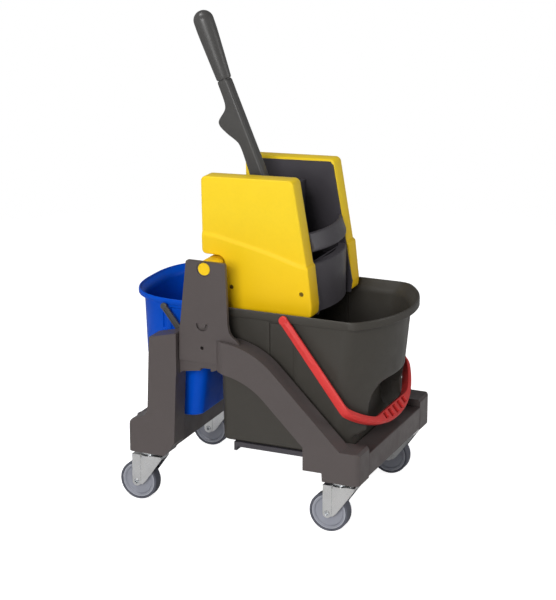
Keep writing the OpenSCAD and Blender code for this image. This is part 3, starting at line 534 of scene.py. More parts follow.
def trim_frame(side, s):
    """The side frame with the inner part of its right corner block chamfered like the rest of it."""
    node = "side_frame_" + side
    bm = bmesh.new()
    bm.from_mesh(nodes[node].data)
    bmesh.ops.remove_doubles(bm, verts=bm.verts, dist=WELD_DISTANCE)
    mesh = bpy.data.meshes.new(node + "_trimmed")
    bm.to_mesh(mesh)
    bm.free()
    wedge = [[(x, s * y, z) for x, z in CORNER_CHAMFER] for y in CORNER_BLOCK]
    done = cut_out(mesh, [solid_mesh("cutter", *rings_to_mesh(wedge))])
    done.name = node + "_trimmed"
    ob = finish_piece(node + "_trimmed", done, "chassis", FRAME, (node,),
                      angle=EDGE_ANGLE)
    round_edges(ob, EDGE[node])


for side, s in SIDES.items():
    trim_frame(side, s)


# buckets

RIM_Z = 418
WALL = 3.0

# rim section from the outer wall to the inner: level, height above it, inset and share of the flare
RIM_PROFILE = [
    ("band", -1.2, 0, 0), ("band", -0.3, 0, 0.06), ("band", 0, 0, 0.2), ("band", 0.2, 0, 0.75),
    ("band", 0.7, 0, 0.93), ("band", 1.8, 0, 1), ("rim", -3, 0, 1), ("rim", -1.2, 0.3, 1),
    ("rim", -0.3, 1.0, 1), ("rim", 0, 1.9, 1), ("rim", -0.3, 2.9, 1), ("rim", -1.2, 3.6, 1),
    ("rim", -3, 4.0, 1), ("between", 0, 4.2, 0.86), ("band", 3, 4.0, 0.45), ("band", -3, 3.4, 0.15),
    ("band", -9, WALL, 0),
]

# round edge of the floor: height and inset
FLOOR_OUTSIDE = [(0, 5.0), (0.8, 2.2), (2.4, 0.7)]
FLOOR_INSIDE = [(6, WALL + 0.8), (4, WALL + 2.5), (3, WALL + 6)]
STUB_SIDES, STUB_CHAMFER = 28, 0.8

# steps round an oval front, a bow, its corners, the back's corners and along the back
OVAL_STEPS, BOW_STEPS, BOW_CORNER_STEPS, BACK_CORNER_STEPS, BACK_STEPS = 34, 38, 14, 8, 12

# height between band and rim where the flare ends inside, how far the back's corners follow an inset,
# the share of the half width that counts as side wall, and the ends of the inner wall
FLARE_SHARE, CORNER_INSET, SIDE_SHARE, INNER_FROM, INNER_TO = 0.55, 0.6, 0.9, 9, 10


def oval_front(x1, w, xs, e, bend):
    """Half of a rounded front, from the side wall at xs to its tip.

    bend lists the first stations along x.
    """
    turn = [math.acos(((x - xs) / (x1 - xs)) ** (e / 2)) for x in bend]
    turn += [turn[-1] * (1 - i / OVAL_STEPS) for i in range(1, OVAL_STEPS + 1)]
    reach = x1 - xs
    return [(xs + reach * max(0.0, math.cos(t)) ** (2 / e), w * math.sin(t) ** (2 / e)) for t in turn]


def bow_front(x1, w, sag, r):
    """Half of a bowed front that meets the side wall in a round corner."""
    big = (sag * sag + w * w) / (2 * sag)
    xo = x1 - big
    xf = xo + math.sqrt((big - r) ** 2 - (w - r) ** 2)
    end = math.atan2(w - r, xf - xo)
    turn = steps(math.pi / 2, end, BOW_CORNER_STEPS)
    corner = [(xf + r * math.cos(a), w - r + r * math.sin(a)) for a in turn]
    return corner + [(xo + big * math.cos(a), big * math.sin(a)) for a in steps(end, 0, BOW_STEPS)[1:]]


def bucket_plan(x0, w, side, rc, flat):
    """Closed plan of a bucket: the front, straight sides and a square back with round corners."""
    marks, counts = flat
    straight = along([side[0][0]] + marks + [x0 + rc], counts)[1:-1]
    pts = [(x, -y) for x, y in side] + side[-2::-1]
    pts += [(x, w) for x in straight]
    pts += quarter(x0 + rc, w - rc, rc, 90, BACK_CORNER_STEPS)
    pts += [(x0, y) for y in steps(w - rc, rc - w, BACK_STEPS)[1:-1]]
    pts += quarter(x0 + rc, rc - w, rc, 180, BACK_CORNER_STEPS)
    pts += [(x, -w) for x in reversed(straight)]
    return pts


def pin_stub(x, z, y0, y1, r, s):
    """A round pin on one side, with a chamfered end, for a bail to turn on."""
    profile = [(y0, r), (y1 - STUB_CHAMFER, r), (y1, r - STUB_CHAMFER)]
    return rings_to_mesh([circle(x, s * y, z, pr, STUB_SIDES) for y, pr in profile])


def make_bucket(name, body, material, wall, rim, floor_z, band_z, front, corner, flat, dent,
                levels, stub, cap=None, mirrored=False):
    """A moulded bucket with a flared rim and two bail pins.

    wall(z) gives x0, x1 and the half width, and rim the same three for the rim. front(x1, w) is half of
    the front's plan, cap(x, y, z) moves its points along x, and dent(x, z) is how far the side walls are
    pressed in. flat holds marks along the side walls and the counts of steps between them.
    """
    level = {"band": band_z, "rim": RIM_Z, "between": lerp(band_z, RIM_Z, FLARE_SHARE)}

    def ring(z, inset=0.0, flare=0.0):
        x0, x1, w = (lerp(a, b, flare) for a, b in zip(wall(min(z, band_z)), rim))
        side = front(x1 - inset, w - inset)
        out = []
        for x, y in bucket_plan(x0 + inset, w - inset, side, corner - inset * CORNER_INSET, flat):
            if flare == 0 and cap:
                x = cap(x + inset, y, z) - inset
            if flare == 0 and abs(y) > SIDE_SHARE * (w - inset):
                y -= math.copysign(dent(x, z), y)
            out.append((-x if mirrored else x, y, z))
        return out

    rings = [ring(floor_z + dz, inset) for dz, inset in FLOOR_OUTSIDE]
    rings += [ring(z) for z in levels]
    rings += [ring(level[at] + dz, inset, flare) for at, dz, inset, flare in RIM_PROFILE]
    inside = [z for z in reversed(levels) if floor_z + INNER_FROM < z < band_z - INNER_TO]
    rings += [ring(z, WALL) for z in inside]
    rings += [ring(floor_z + dz, inset) for dz, inset in FLOOR_INSIDE]
    verts, faces = join(rings_to_mesh(rings), pin_stub(*stub, -1), pin_stub(*stub, 1))
    return piece(name + "_shell", verts, faces, body, material, (name,), angle=34)


# grey bucket: back, front and half width by height
GREY_X0 = [(141, -58), (145, -60), (174.5, -60.5), (290.5, -63), (401, -65)]
GREY_X1 = [(141, 238), (145, 239), (174.5, 245), (235, 251), (290.5, 257), (401, 268)]
GREY_W = [(141, 139), (145, 141.5), (174.5, 142), (235, 142.5), (290.5, 143), (401, 144)]
GREY_RIM = (-70, 284, 153)
GREY_FLOOR_Z, GREY_BAND_Z = 141, 401

# bow of the front at the band, how fast it flattens further down, and its round corners
BOW_SAG, BOW_X1, BOW_SLOPE, BOW_CORNER = 62, 268, 0.17, 40

# the front begins at FRONT_FROM; up to FOOT_TOP it is cut off at FOOT_X, and above that it slopes out
FRONT_FROM = 120
FOOT_X, FOOT_TOP, FOOT_SLOPE, FOOT_ROUND = 206, 176, 2.2, 5.0

# hand recess: x of its face by height, and its arch in the front
RECESS = [(174, 205), (184, 194), (200, 188), (222, 188), (240, 193), (254, 202), (266, 216),
          (276, 234), (284, 257), (292, 290)]
RECESS_FLAT, RECESS_SPRING, RECESS_ROUND, RECESS_EDGE = 42, 237, 48, 9.0

# pocket in each side: from, to and softness along x and z
GREY_POCKET_X, GREY_POCKET_Z, GREY_POCKET_DEPTH = (43.5, 94, 2.0), (240.5, 395, 2.6), 3.4
GREY_FLAT = ([95.2, 92.8, 44.7, 42.3], [10, 6, 10, 6, 14])
GREY_LEVELS = [145.5] + steps(150, 236, 22) + steps(238.6, 242.4, 6) + steps(246, 292, 24)
GREY_LEVELS += steps(297, 390, 14) + steps(393, 397, 6) + [398.5]

# bail pins: x, z, inner and outer end, radius
GREY_STUB = (78, 407, 149, 158.5, 6)


def grey_cap(x, y, z):
    """Cuts the foot off flat behind the end bar, and presses an arched recess for the hand in."""
    if x < FRONT_FROM:
        return x
    x = soft_min(x, FOOT_X + max(0.0, z - FOOT_TOP) * FOOT_SLOPE, FOOT_ROUND)
    across, up = max(0.0, abs(y) - RECESS_FLAT), max(0.0, z - RECESS_SPRING)
    inside = smooth((RECESS_ROUND - math.hypot(across, up)) / RECESS_EDGE)
    return lerp(x, min(x, spline(RECESS, z)), inside)


def grey_wall(z):
    return table(GREY_X0, z), table(GREY_X1, z), table(GREY_W, z)


def grey_front(x1, w):
    return bow_front(x1, w, BOW_SAG - (BOW_X1 - x1) * BOW_SLOPE, BOW_CORNER)


def grey_dent(x, z):
    return GREY_POCKET_DEPTH * window(x, *GREY_POCKET_X) * window(z, *GREY_POCKET_Z)


make_bucket("grey_bucket", "chassis", GREY, wall=grey_wall, rim=GREY_RIM,
            floor_z=GREY_FLOOR_Z, band_z=GREY_BAND_Z, front=grey_front, corner=14, flat=GREY_FLAT,
            dent=grey_dent, levels=GREY_LEVELS, stub=GREY_STUB, cap=grey_cap)

# blue bucket, drawn towards +x and mirrored: back, front and half width by height
BLUE_X0 = [(174.3, 118), (178.3, 114), (290.7, 99), (407, 84.5)]
BLUE_X1 = [(174.3, 252), (178.3, 256), (290.7, 265.5), (407, 269.5)]
BLUE_W = [(174.3, 127), (178.3, 131), (290.7, 136), (407, 139)]
BLUE_RIM = (77, 282, 147)
BLUE_FLOOR_Z, BLUE_BAND_Z = 174.3, 407

# where its side walls end, the power of its oval front, and the first stations along it
BLUE_SIDE, BLUE_OVAL = 150, 2.6
BLUE_BEND = along([150, 169.8, 172.2, 178.8, 181.2, 187.8, 190.2, 198], [5, 6, 3, 6, 3, 6, 3])

# a wide and a slim pocket in each side: from, to and softness along x and z
BLUE_POCKETS = [((139.5, 171, 2.0), (353.7, 398, 2.4)), ((180, 189, 2.0), (353.7, 386, 2.4))]
BLUE_POCKET_DEPTH = 3.0
BLUE_FLAT = ([], [40])
BLUE_LEVELS = [179] + steps(186, 348, 18) + steps(352, 355.4, 6) + steps(359, 381, 4)
BLUE_LEVELS += steps(384.4, 387.6, 6) + [391, 394.5] + steps(396.4, 399.6, 6) + [402]
BLUE_STUB = (-180, 403, 137, 151, 3.5)


def blue_wall(z):
    return table(BLUE_X0, z), table(BLUE_X1, z), table(BLUE_W, z)


def blue_front(x1, w):
    return oval_front(x1, w, BLUE_SIDE, BLUE_OVAL, BLUE_BEND)


def blue_dent(x, z):
    return BLUE_POCKET_DEPTH * max(window(x, *xs) * window(z, *zs) for xs, zs in BLUE_POCKETS)


make_bucket("blue_bucket", "blue_bucket", BLUE, wall=blue_wall, rim=BLUE_RIM,
            floor_z=BLUE_FLOOR_Z, band_z=BLUE_BAND_Z, front=blue_front, corner=22, flat=BLUE_FLAT,
            dent=blue_dent, levels=BLUE_LEVELS, stub=BLUE_STUB, mirrored=True)


# wringer covers

# outline in x and z, and the radius of each corner
COVER = [(-108.5, 512), (-111.0, 664.6), (81.2, 671.6), (110.0, 508.5), (114.0, 504), (122.8, 428),
         (121.0, 405), (-55.4, 405), (-60.4, 457), (-60.6, 511.5)]
COVER_R = [9, 10, 11, 3, 3, 30, 11, 6, 60, 14]
COVER_BACK, COVER_FRONT = 86.0, 122.0
COVER_EDGE, COVER_BACK_EDGE = 5.0, 1.2

# crease in x and z; below it the face stands proud, fading in over a depth behind the face
CREASE = [(-112, 552.5), (-80, 550), (-49, 544), (-18, 537.5), (14, 530.5), (44, 523), (72, 515),
          (96, 508), (116, 505)]
CREASE_SOFT, PROUD, PROUD_FROM, PROUD_OVER = 9.0, 3.0, 100.0, 17.0
SLICE_X = [-112 + 4.0 * i for i in range(1, 60)]
SLICE_Z = [490 + 2.0 * i for i in range(1, 40)]
COVER_SCREWS = [(-45.4, 451), (101.6, 453)]
HOLE_R, HOLE_Y, HOLE_LENGTH, HOLE_SIDES = 4.6, 126, 8, 28


def round_rim(bm, y, offset, segments):
    """Rounds the edge of the cover's face that lies at y."""
    rim = [e for e in bm.edges if all(abs(v.co.y - y) < 0.01 for v in e.verts)]
    bmesh.ops.bevel(bm, geom=rim, offset=offset, offset_type="OFFSET", segments=segments, profile=0.5,
                    affect="EDGES", clamp_overlap=True)


def slice_up(bm, point, normal):
    """Cuts all faces along a plane and keeps both sides."""
    everything = bm.verts[:] + bm.edges[:] + bm.faces[:]
    bmesh.ops.bisect_plane(bm, geom=everything, plane_co=point, plane_no=normal)


def screw_hole(x, z, s):
    """Cutter for a screw's hole in the outer face of a cover."""
    place = Matrix.Translation((x * MM, s * HOLE_Y * MM, z * MM)) @ Matrix.Rotation(math.pi / 2, 4, "X")
    bm = bmesh.new()
    bmesh.ops.create_cone(bm, cap_ends=True, segments=HOLE_SIDES, radius1=HOLE_R * MM,
                          radius2=HOLE_R * MM, depth=HOLE_LENGTH * MM, matrix=place)
    mesh = bpy.data.meshes.new("cutter")
    bm.to_mesh(mesh)
    bm.free()
    return mesh


def make_cover(side, s):
    """A yellow cover whose lower part stands proud under a curved crease."""
    bm = bmesh.new()
    outline = round_corners(COVER, COVER_R, 7)
    base = bm.faces.new([bm.verts.new((x, s * COVER_BACK, z)) for x, z in outline])
    made = bmesh.ops.extrude_face_region(bm, geom=[base])
    for v in made["geom"]:
        if isinstance(v, bmesh.types.BMVert):
            v.co.y = s * COVER_FRONT
    bm.normal_update()
    round_rim(bm, s * COVER_FRONT, COVER_EDGE, 5)
    round_rim(bm, s * COVER_BACK, COVER_BACK_EDGE, 2)
    for x in SLICE_X:
        slice_up(bm, (x, 0, 0), (1, 0, 0))
    for z in SLICE_Z:
        slice_up(bm, (0, 0, z), (0, 0, 1))
    for v in bm.verts:
        x, y, z = v.co
        d = abs(y)
        below = smooth((spline(CREASE, x) - z) / CREASE_SOFT + 0.5)
        v.co.y = s * (d + PROUD * below * smooth((d - PROUD_FROM) / PROUD_OVER))
    for v in bm.verts:
        v.co *= MM
    bmesh.ops.recalc_face_normals(bm, faces=bm.faces)
    mesh = bpy.data.meshes.new("wringer_cover_" + side)
    bm.to_mesh(mesh)
    bm.free()
    name = "wringer_cover_shell_" + side
    done = cut_out(mesh, [screw_hole(x, z, s) for x, z in COVER_SCREWS])
    done.name = name
    finish_piece(name, done, "chassis", YELLOW, ("wringer_cover_" + side,), angle=30)


for side, s in SIDES.items():
    make_cover(side, s)


# trunnion blocks between the wringer and the uprights

BLOCK_LEFT, BLOCK_BOTTOM, BLOCK_TOP, BLOCK_ROUND = -98.4, 478, 505.5, 7

# right end, inner end and outer end of the foot and of the hanger, and the cutter for the bore
BLOCK_FOOT = (-68.4, 86.2, 125.4)
BLOCK_HANGER = (-60.4, 125.6, 159.5)
BORE_X, BORE_Z, BORE_R, BORE_ENDS, BORE_SIDES = -73.4, 500, 4.2, (124.4, 170), 28


def block_rings(s, right, y0, y1):
    """A round-edged block between y0 and y1 on one side of the wringer."""
    rings = []
    ends = ((y0, 1.2), (y0 + 0.4, 0.4), (y0 + 1.2, 0), (y1 - 1.8, 0), (y1 - 0.6, 0.5), (y1, 1.8))
    for y, inset in ends:
        x0, x1 = BLOCK_LEFT + inset, right - inset
        z0, z1 = BLOCK_BOTTOM + inset, BLOCK_TOP - inset
        box = round_corners([(x0, z0), (x1, z0), (x1, z1), (x0, z1)], [BLOCK_ROUND] * 4, 6)
        rings.append([(x, s * y, z) for x, z in box])
    return rings_to_mesh(rings)


def make_trunnion(side, s):
    """A foot on the liner and a hanger that the lock pin's shank runs in."""
    name = "trunnion_block_" + side
    bore = [circle(BORE_X, s * y, BORE_Z, BORE_R, BORE_SIDES) for y in BORE_ENDS]
    hanger = solid_mesh(name, *block_rings(s, *BLOCK_HANGER))
    done = cut_out(hanger, [solid_mesh("cutter", *rings_to_mesh(bore))])
    done.name = name
    bm = bmesh.new()
    bm.from_mesh(done)
    bmesh.ops.triangulate(bm, faces=[f for f in bm.faces if len(f.verts) > 4])
    bm.to_mesh(done)
    bm.free()
    add_shells(done, [block_rings(s, *BLOCK_FOOT)])
    finish_piece(name, done, "chassis", YELLOW, ("trunnion_" + side,), angle=34)


for side, s in SIDES.items():
    make_trunnion(side, s)


# bails

EYE_SIDES, BAR_CORNER_STEPS = 36, 7


def relax(path, times):
    """Evens a path out and keeps its ends."""
    for _ in range(times):
        middle = [(a + 2 * b + c) / 4 for a, b, c in zip(path, path[1:], path[2:])]
        path = [path[0]] + middle + [path[-1]]
    return path


def inner_corners(half, r):
    """The two round corners of a bar section on its inner side, from +half to -half."""
    n = BAR_CORNER_STEPS
    return quarter(r, half - r, r, 90, n) + quarter(r, r - half, r, 180, n)


def ridged(t):
    """Section of the red bail, t thick, with a low ridge along its outer face."""
    h = RED_HALF
    outside = [(t - 3.6, -h), (t - 2.6, -h + 0.3), (t - 2.0, -h + 1.0), (t, 1.0), (t - 1.8, h - 1.0),
               (t - 2.4, h - 0.3), (t - 3.4, h)]
    return outside + inner_corners(h, 1.4)


def grooved(t):
    """Section of the dark bail, t thick, with a shallow groove along its outer face."""
    h = DARK_HALF
    outside = [(t - 0.8, -h), (t - 0.2, -h + 0.2), (t, -h + 0.8), (t, -3.2), (t - 1.4, -2.6),
               (t - 1.4, 2.6), (t, 3.2), (t, h - 0.8), (t - 0.2, h - 0.2), (t - 0.8, h)]
    return outside + inner_corners(h, 0.8)


def lean(points, at, angle):
    """From the bail's own plane, reach along +x, to its place on the bucket."""
    b = math.radians(90 - angle)
    c, s = math.cos(b), math.sin(b)
    return [(at[0] + px * c + pz * s, py, at[1] - px * s + pz * c) for px, py, pz in points]


def bail_eye(y0, y1, half, hole, skin, s):
    """A round eye about the pivot, bored from its inner side and closed by a skin outside."""
    profile = [(hole, y1 - skin), (hole, y0 + 0.3), (hole + 0.3, y0), (half - 1.0, y0),
               (half - 0.3, y0 + 0.3), (half, y0 + 1.0), (half, y1 - 1.6), (half - 0.4, y1 - 0.5),
               (half - 1.6, y1)]
    return rings_to_mesh([circle(0, s * y, 0, r, EYE_SIDES) for r, y in profile])


def bail_window(x, y, length, wide):
    """Cutter through the bail's plane for a round-cornered window."""
    a, b = length / 2, wide / 2
    box = [(x - a, y - b), (x + a, y - b), (x + a, y + b), (x - a, y + b)]
    outline = round_corners(box, [WINDOW_ROUND] * 4, 3)
    return rings_to_mesh([[(px, py, z) for px, py in outline] for z in (-WINDOW_CUT, WINDOW_CUT)])


def make_bail(name, outer, inner, section, eye, at, angle, material, slot, windows=()):
    """A bar between an outer and an inner line in the bail's plane, with an eye at each end."""
    def placed(verts, faces):
        return lean(verts, at, angle), faces

    rings = []
    for o, i in zip(outer, inner):
        d = (o - i).normalized()
        rings.append([(i.x + d.x * u, i.y + d.y * u, v) for u, v in section((o - i).length)])
    mesh = solid_mesh(name + "_bar", *placed(*rings_to_mesh(rings)))
    if windows:
        mesh = cut_out(mesh, [solid_mesh("cutter", *placed(*bail_window(*w))) for w in windows])
    add_shells(mesh, [placed(*bail_eye(*eye, s)) for s in (-1, 1)])
    return finish_piece(name + "_bar", mesh, name, material, (name,), angle=20)


# red bail: half height, reach of the grip from the pivots, its round, its inner rail, and the thickness
RED_HALF = 9.0
RED_REACH, RED_ROUND, RED_RAIL, RED_THICK = 282.378, 250.0, 255.0, 12.5

# half widths of the outer and the inner line at the pivots and at the grip
RED_OUT, RED_IN = (160.5, 169.5), (154, 163)
RED_PIVOT, RED_ANGLE = (78, 407), 38.66

# an eye is given by its inner and outer end, radius, hole and skin
RED_EYE = (154.0, 160.5, RED_HALF, 6.05, 1.6)

# windows in the grip: their places, width, and how much is left of the rail and of the outer edge
WINDOW_Y, WINDOW_WIDE, WINDOW_RAIL, WINDOW_EDGE = (-50, -25, 0, 25, 50), 14, 3, 6.5
WINDOW_ROUND, WINDOW_CUT = 1.6, 40

# arms start behind the pivots; their stations are shares of their length
RED_START, RED_ARM = -3, steps(0.03, 0.985, 52)
RAIL_ROUND, RED_STEPS, RED_RELAX = 3.0, 100, 5


def red_x(y, d):
    """x of the grip's round at y, moved out by d."""
    return RED_REACH - RED_ROUND + math.sqrt((RED_ROUND + d) ** 2 - y * y)


def red_arm(widths, reach, s):
    """One straight arm's line, from the pivot to the grip."""
    return [Vector((lerp(RED_START, reach, f), s * lerp(*widths, f))) for f in RED_ARM]


def red_lines():
    """Outer and inner line of the red bail: an arm, the grip and the other arm."""
    far_out, far_in = RED_OUT[1], RED_IN[1]
    reach_out, reach_in = red_x(far_out, 0), red_x(far_in, -RED_THICK)
    outer = red_arm(RED_OUT, reach_out, -1)
    inner = red_arm(RED_IN, reach_in, -1)
    for y in steps(-far_out, far_out, RED_STEPS):
        v = y * far_in / far_out
        outer.append(Vector((red_x(y, 0), y)))
        inner.append(Vector((soft_min(red_x(v, -RED_THICK), RED_RAIL, RAIL_ROUND), v)))
    outer += red_arm(RED_OUT, reach_out, 1)[::-1]
    inner += red_arm(RED_IN, reach_in, 1)[::-1]
    return relax(outer, RED_RELAX), relax(inner, RED_RELAX)


def red_windows():
    """Middle, length and width of each window between the grip's rail and its outer edge."""
    out = []
    for y in WINDOW_Y:
        lo, hi = RED_RAIL + WINDOW_RAIL, red_x(y, -WINDOW_EDGE)
        out.append(((lo + hi) / 2, y, hi - lo, WINDOW_WIDE))
    return out


make_bail("red_bail", *red_lines(), ridged, RED_EYE, RED_PIVOT, RED_ANGLE, RED, "red_plastic",
          red_windows())

# dark bail: half height, half widths outside and inside, and the centre of its round corners
DARK_HALF = 6.0
DARK_OUT, DARK_IN = 153.0, 148.0
DARK_X, DARK_Y = 128, 129
DARK_PIVOT, DARK_ANGLE = (-180, 403), 38.4
DARK_EYE = (DARK_IN, DARK_OUT, 7.0, 3.55, 1.6)

# stations along an arm and along the bow, and steps round a corner
DARK_ARM, DARK_BOW, DARK_CORNER_STEPS = steps(4, 126, 30), steps(-126, 126, 40), 14


def dark_line(w):
    """One line of the dark bail at half width w: arm, corner, bow, corner and arm."""
    r = w - DARK_Y
    line = [Vector((x, -w)) for x in DARK_ARM]
    for a in steps(-math.pi / 2, 0, DARK_CORNER_STEPS):
        line.append(Vector((DARK_X + r * math.cos(a), -DARK_Y + r * math.sin(a))))
    line += [Vector((DARK_X + r, y)) for y in DARK_BOW]
    for a in steps(0, math.pi / 2, DARK_CORNER_STEPS):
        line.append(Vector((DARK_X + r * math.cos(a), DARK_Y + r * math.sin(a))))
    return line + [Vector((x, w)) for x in reversed(DARK_ARM)]


make_bail("dark_bail", dark_line(DARK_OUT), dark_line(DARK_IN), grooved, DARK_EYE, DARK_PIVOT,
          DARK_ANGLE, LEVER, "lever_plastic")


# lever

SHAFT_X, SHAFT_Z = -13.0, 561.0
LEAN, GRIP_LEAN = math.radians(21.5), math.radians(21.0)

# upper and lower edge of the arm by distance from the shaft; the bump below is the thumb rest
ARM_HI = [(0, 20), (93, 20), (190, 17.5), (260, 15.6), (284, 15), (287, 14.5), (289, 13.5)]
ARM_LO = [(0, -20), (60, -14), (104, -9.8), (130, -8.8), (150, -8.7), (163, -10.5), (172, -15.5),
          (186, -25.5), (202, -34.5), (210, -36.5), (216, -35), (222, -28.5), (229, -18.5), (236, -12),
          (249, -9), (284, -9), (287, -8.8), (289, -8)]
ARM_LEVELS = steps(-2, 140, 24) + steps(143, 250, 60)[1:] + steps(253, 285, 9) + [287.5, 288.6, 289]
ARM_HALF, ARM_ROUND, ARM_CORNER_STEPS = 13.0, 5.5, 6
ARM_END, ARM_END_LENGTH, ARM_END_SHRINK = 285.0, 4.0, 0.05

# boss round the shaft: radius and y
BOSS = [(8.05, -20), (20.5, -20), (22, -18.5), (22, 18.5), (20.5, 20), (8.05, 20)]
BOSS_SIDES = 40

# the grip starts at this reach and offset from the arm's line; its neck is a share of the radius
REACH, GRIP_OFF = 289.0, 3.2
GRIP_NECK = [(-1.5, 0.8), (0.45, 0.8), (0.5, 0.88), (0.9, 0.95), (1.8, 0.99), (4, 1.0)]
GRIP_R = [(0, 14.4), (4.4, 15.0), (40, 16.9), (75, 18.7), (101, 19.9), (121, 20.0)]
GRIP_LEVELS = steps(8, 120, 28)
GRIP_TOP, GRIP_END_R, GRIP_SIDES = 121.0, 20, 48
GRIP_FLAT, GRIP_FLAT_LENGTH = 0.04, 40.0

# rings round the end, and the slightly larger count that keeps the last of them off the tip
GRIP_END_RINGS, GRIP_END_STEPS = 14, 14.2


def lever_point(s, n, y):
    """Point at s along the lever's line and n across it, towards +x."""
    x = SHAFT_X - s * math.sin(LEAN) + n * math.cos(LEAN)
    z = SHAFT_Z + s * math.cos(LEAN) + n * math.sin(LEAN)
    return (x, y, z)


def arm_section(lo, hi, half):
    """Round-cornered rectangle: lo to hi along the first axis, -half to half along the second."""
    r, n = ARM_ROUND, ARM_CORNER_STEPS
    out = quarter(hi - r, half - r, r, 0, n) + quarter(lo + r, half - r, r, 90, n)
    return out + quarter(lo + r, r - half, r, 180, n) + quarter(hi - r, r - half, r, 270, n)


def make_lever_arm():
    """The arm with its thumb rest, and a bored boss at the shaft."""
    rings = []
    for s in ARM_LEVELS:
        end = max(0.0, (s - ARM_END) / ARM_END_LENGTH)
        shrink = 1 - ARM_END_SHRINK * end * end
        section = arm_section(spline(ARM_LO, s) * shrink, spline(ARM_HI, s) * shrink, ARM_HALF * shrink)
        rings.append([lever_point(s, u, v) for u, v in section])
    boss = [circle(SHAFT_X, y, SHAFT_Z, r, BOSS_SIDES) for r, y in BOSS]
    verts, faces = join(rings_to_mesh(rings), rings_to_mesh(boss, loop=True))
    piece("lever_arm_body", verts, faces, "lever", LEVER, ("lever_arm",), angle=40)


def make_lever_grip():
    """A grip that swells towards its round end and is slightly flat near the arm."""
    jx, _, jz = lever_point(REACH, GRIP_OFF, 0)
    profile = [(z, spline(GRIP_R, z) * k) for z, k in GRIP_NECK]
    profile += [(z, spline(GRIP_R, z)) for z in GRIP_LEVELS]
    for i in range(1, GRIP_END_RINGS + 1):
        a = math.radians(90 * i / GRIP_END_STEPS)
        profile.append((GRIP_TOP + GRIP_END_R * math.sin(a), GRIP_END_R * math.cos(a)))
    c, s = math.cos(GRIP_LEAN), math.sin(GRIP_LEAN)
    rings = []
    for z, r in profile:
        flat = 1 - GRIP_FLAT * smooth((GRIP_FLAT_LENGTH - z) / GRIP_FLAT_LENGTH)
        ring = []
        for a in turns(GRIP_SIDES):
            px, py = r * math.cos(a), r * math.sin(a) * flat
            ring.append((jx - z * s + px * c, py, jz + z * c + px * s))
        rings.append(ring)
    verts, faces = rings_to_mesh(rings)
    piece("lever_grip_body", verts, faces, "lever", LEVER, ("lever_grip",), angle=40)


make_lever_arm()
make_lever_grip()


# stage: floor, light, camera

# the floor is a disc that fades out between two distances from the middle
FLOOR_R, FLOOR_Z, FLOOR_SIDES = 3.2, -0.0004, 64
FADE_FROM, FADE_TO = 0.9, 2.4
FLOOR_DARK, FLOOR_PALE = (0.86, 0.86, 0.86, 1), (0.89, 0.89, 0.89, 1)
WHITE = (1, 1, 1, 1)
FLOOR_GLOW = 0.90

# strength of the sky's light low down and overhead, and the upward share of a direction at each
SKY_LOW, SKY_HIGH, SKY_FROM, SKY_TO = 0.36, 0.06, 0.05, 0.75
CAMERA_EYE, CAMERA_AIM = (1.50697, -3.43856, 1.51538), (-0.00173, 0.0, 0.39598)
CAMERA_SENSOR, CAMERA_LENS = 36.0, 118.1


def make_floor():
    """A pale disc that glows to the camera, so it looks white and keeps a faint contact shadow."""
    verts = [(0.0, 0.0, FLOOR_Z)]
    verts += [(FLOOR_R * math.cos(a), FLOOR_R * math.sin(a), FLOOR_Z) for a in turns(FLOOR_SIDES)]
    faces = [(0, 1 + i, 1 + (i + 1) % FLOOR_SIDES) for i in range(FLOOR_SIDES)]
    mesh = bpy.data.meshes.new("floor")
    mesh.from_pydata(verts, [], faces)
    floor = bpy.data.objects.new("floor", mesh)
    scene.collection.objects.link(floor)
    mat, n, l, bsdf = base_material("floor")
    obj = n.new("ShaderNodeTexCoord").outputs["Object"]
    speck = noise(n, l, obj, scale=8.0)
    l.new(ramp(n, l, speck, [(0.3, FLOOR_DARK), (0.7, FLOOR_PALE)]), bsdf.inputs["Base Color"])
    bsdf.inputs["Roughness"].default_value = 0.8
    bsdf.inputs["Specular IOR Level"].default_value = 0.1
    bsdf.inputs["Emission Color"].default_value = WHITE
    glow = n.new("ShaderNodeMath")
    glow.operation = "MULTIPLY"
    glow.inputs[1].default_value = FLOOR_GLOW
    l.new(n.new("ShaderNodeLightPath").outputs["Is Camera Ray"], glow.inputs[0])
    l.new(glow.outputs["Value"], bsdf.inputs["Emission Strength"])
    clear = n.new("ShaderNodeBsdfTransparent")
    fade = span(n, l, vector_math(n, l, "LENGTH", obj), lo=0.0, hi=1.0, a=FADE_FROM, b=FADE_TO)
    blend = n.new("ShaderNodeMixShader")
    l.new(fade, blend.inputs["Fac"])
    l.new(bsdf.outputs["BSDF"], blend.inputs[1])
    l.new(clear.outputs["BSDF"], blend.inputs[2])
    l.new(blend.outputs["Shader"], n["Material Output"].inputs["Surface"])
    mesh.materials.append(mat)


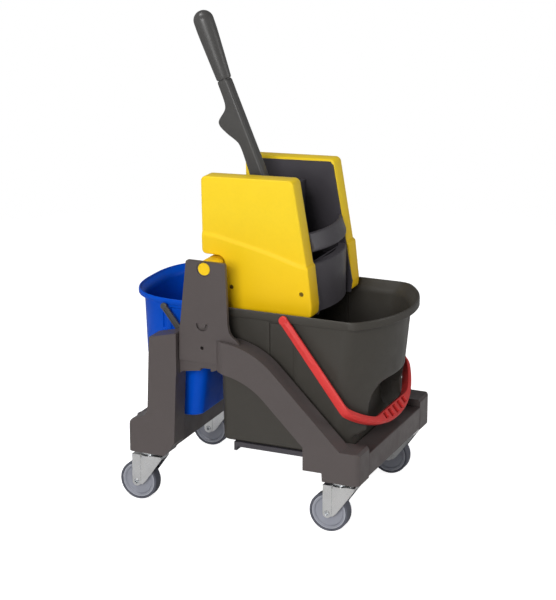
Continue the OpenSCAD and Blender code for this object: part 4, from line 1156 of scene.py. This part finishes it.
def make_world():
    """White to the camera; as light, brighter round the horizon than overhead."""
    world = bpy.data.worlds.new("studio")
    scene.world = world
    world.use_nodes = True
    n, l = world.node_tree.nodes, world.node_tree.links
    back = n["Background"]
    back.inputs["Color"].default_value = WHITE
    path = n.new("ShaderNodeLightPath")
    seen = n.new("ShaderNodeMath")
    seen.operation = "MAXIMUM"
    l.new(path.outputs["Is Camera Ray"], seen.inputs[0])
    l.new(path.outputs["Is Transmission Ray"], seen.inputs[1])
    way = n.new("ShaderNodeSeparateXYZ")
    l.new(n.new("ShaderNodeTexCoord").outputs["Generated"], way.inputs["Vector"])
    dome = n.new("ShaderNodeMapRange")
    dome.interpolation_type = "SMOOTHSTEP"
    dome.inputs["From Min"].default_value = SKY_FROM
    dome.inputs["From Max"].default_value = SKY_TO
    dome.inputs["To Min"].default_value = SKY_LOW
    dome.inputs["To Max"].default_value = SKY_HIGH
    l.new(way.outputs["Z"], dome.inputs["Value"])
    strength = n.new("ShaderNodeMix")
    strength.data_type = "FLOAT"
    strength.inputs["B"].default_value = 1.0
    l.new(seen.outputs["Value"], strength.inputs["Factor"])
    l.new(dome.outputs["Result"], strength.inputs["A"])
    l.new(strength.outputs["Result"], back.inputs["Strength"])


def aim_at(ob, at, aim):
    """Puts a lamp or camera at a point and turns it to another."""
    ob.location = at
    ob.rotation_mode = "QUATERNION"
    ob.rotation_quaternion = (Vector(aim) - Vector(at)).to_track_quat("-Z", "Y")


def lamp(name, at, aim, size, power):
    """A rectangular lamp, its power in watts."""
    data = bpy.data.lights.new(name, "AREA")
    data.shape = "RECTANGLE"
    data.size, data.size_y = size
    data.energy = power
    ob = bpy.data.objects.new(name, data)
    scene.collection.objects.link(ob)
    aim_at(ob, at, aim)


def make_camera():
    """The camera that was fitted to the photograph."""
    data = bpy.data.cameras.new("camera")
    data.sensor_width = CAMERA_SENSOR
    data.lens = CAMERA_LENS
    data.clip_start, data.clip_end = 0.05, 200.0
    cam = bpy.data.objects.new("camera", data)
    scene.collection.objects.link(cam)
    aim_at(cam, CAMERA_EYE, CAMERA_AIM)
    scene.camera = cam


make_floor()
make_world()
lamp("key", at=(0.5, -3.9, 1.7), aim=(0, 0, 0.45), size=(1.8, 1.4), power=108)
lamp("fill", at=(3.3, 0.9, 1.25), aim=(0, 0, 0.4), size=(1.4, 1.2), power=27)
lamp("top", at=(-0.9, -0.6, 2.9), aim=(0, 0, 0.4), size=(0.9, 0.7), power=30)
make_camera()
scene.view_settings.view_transform = "Standard"
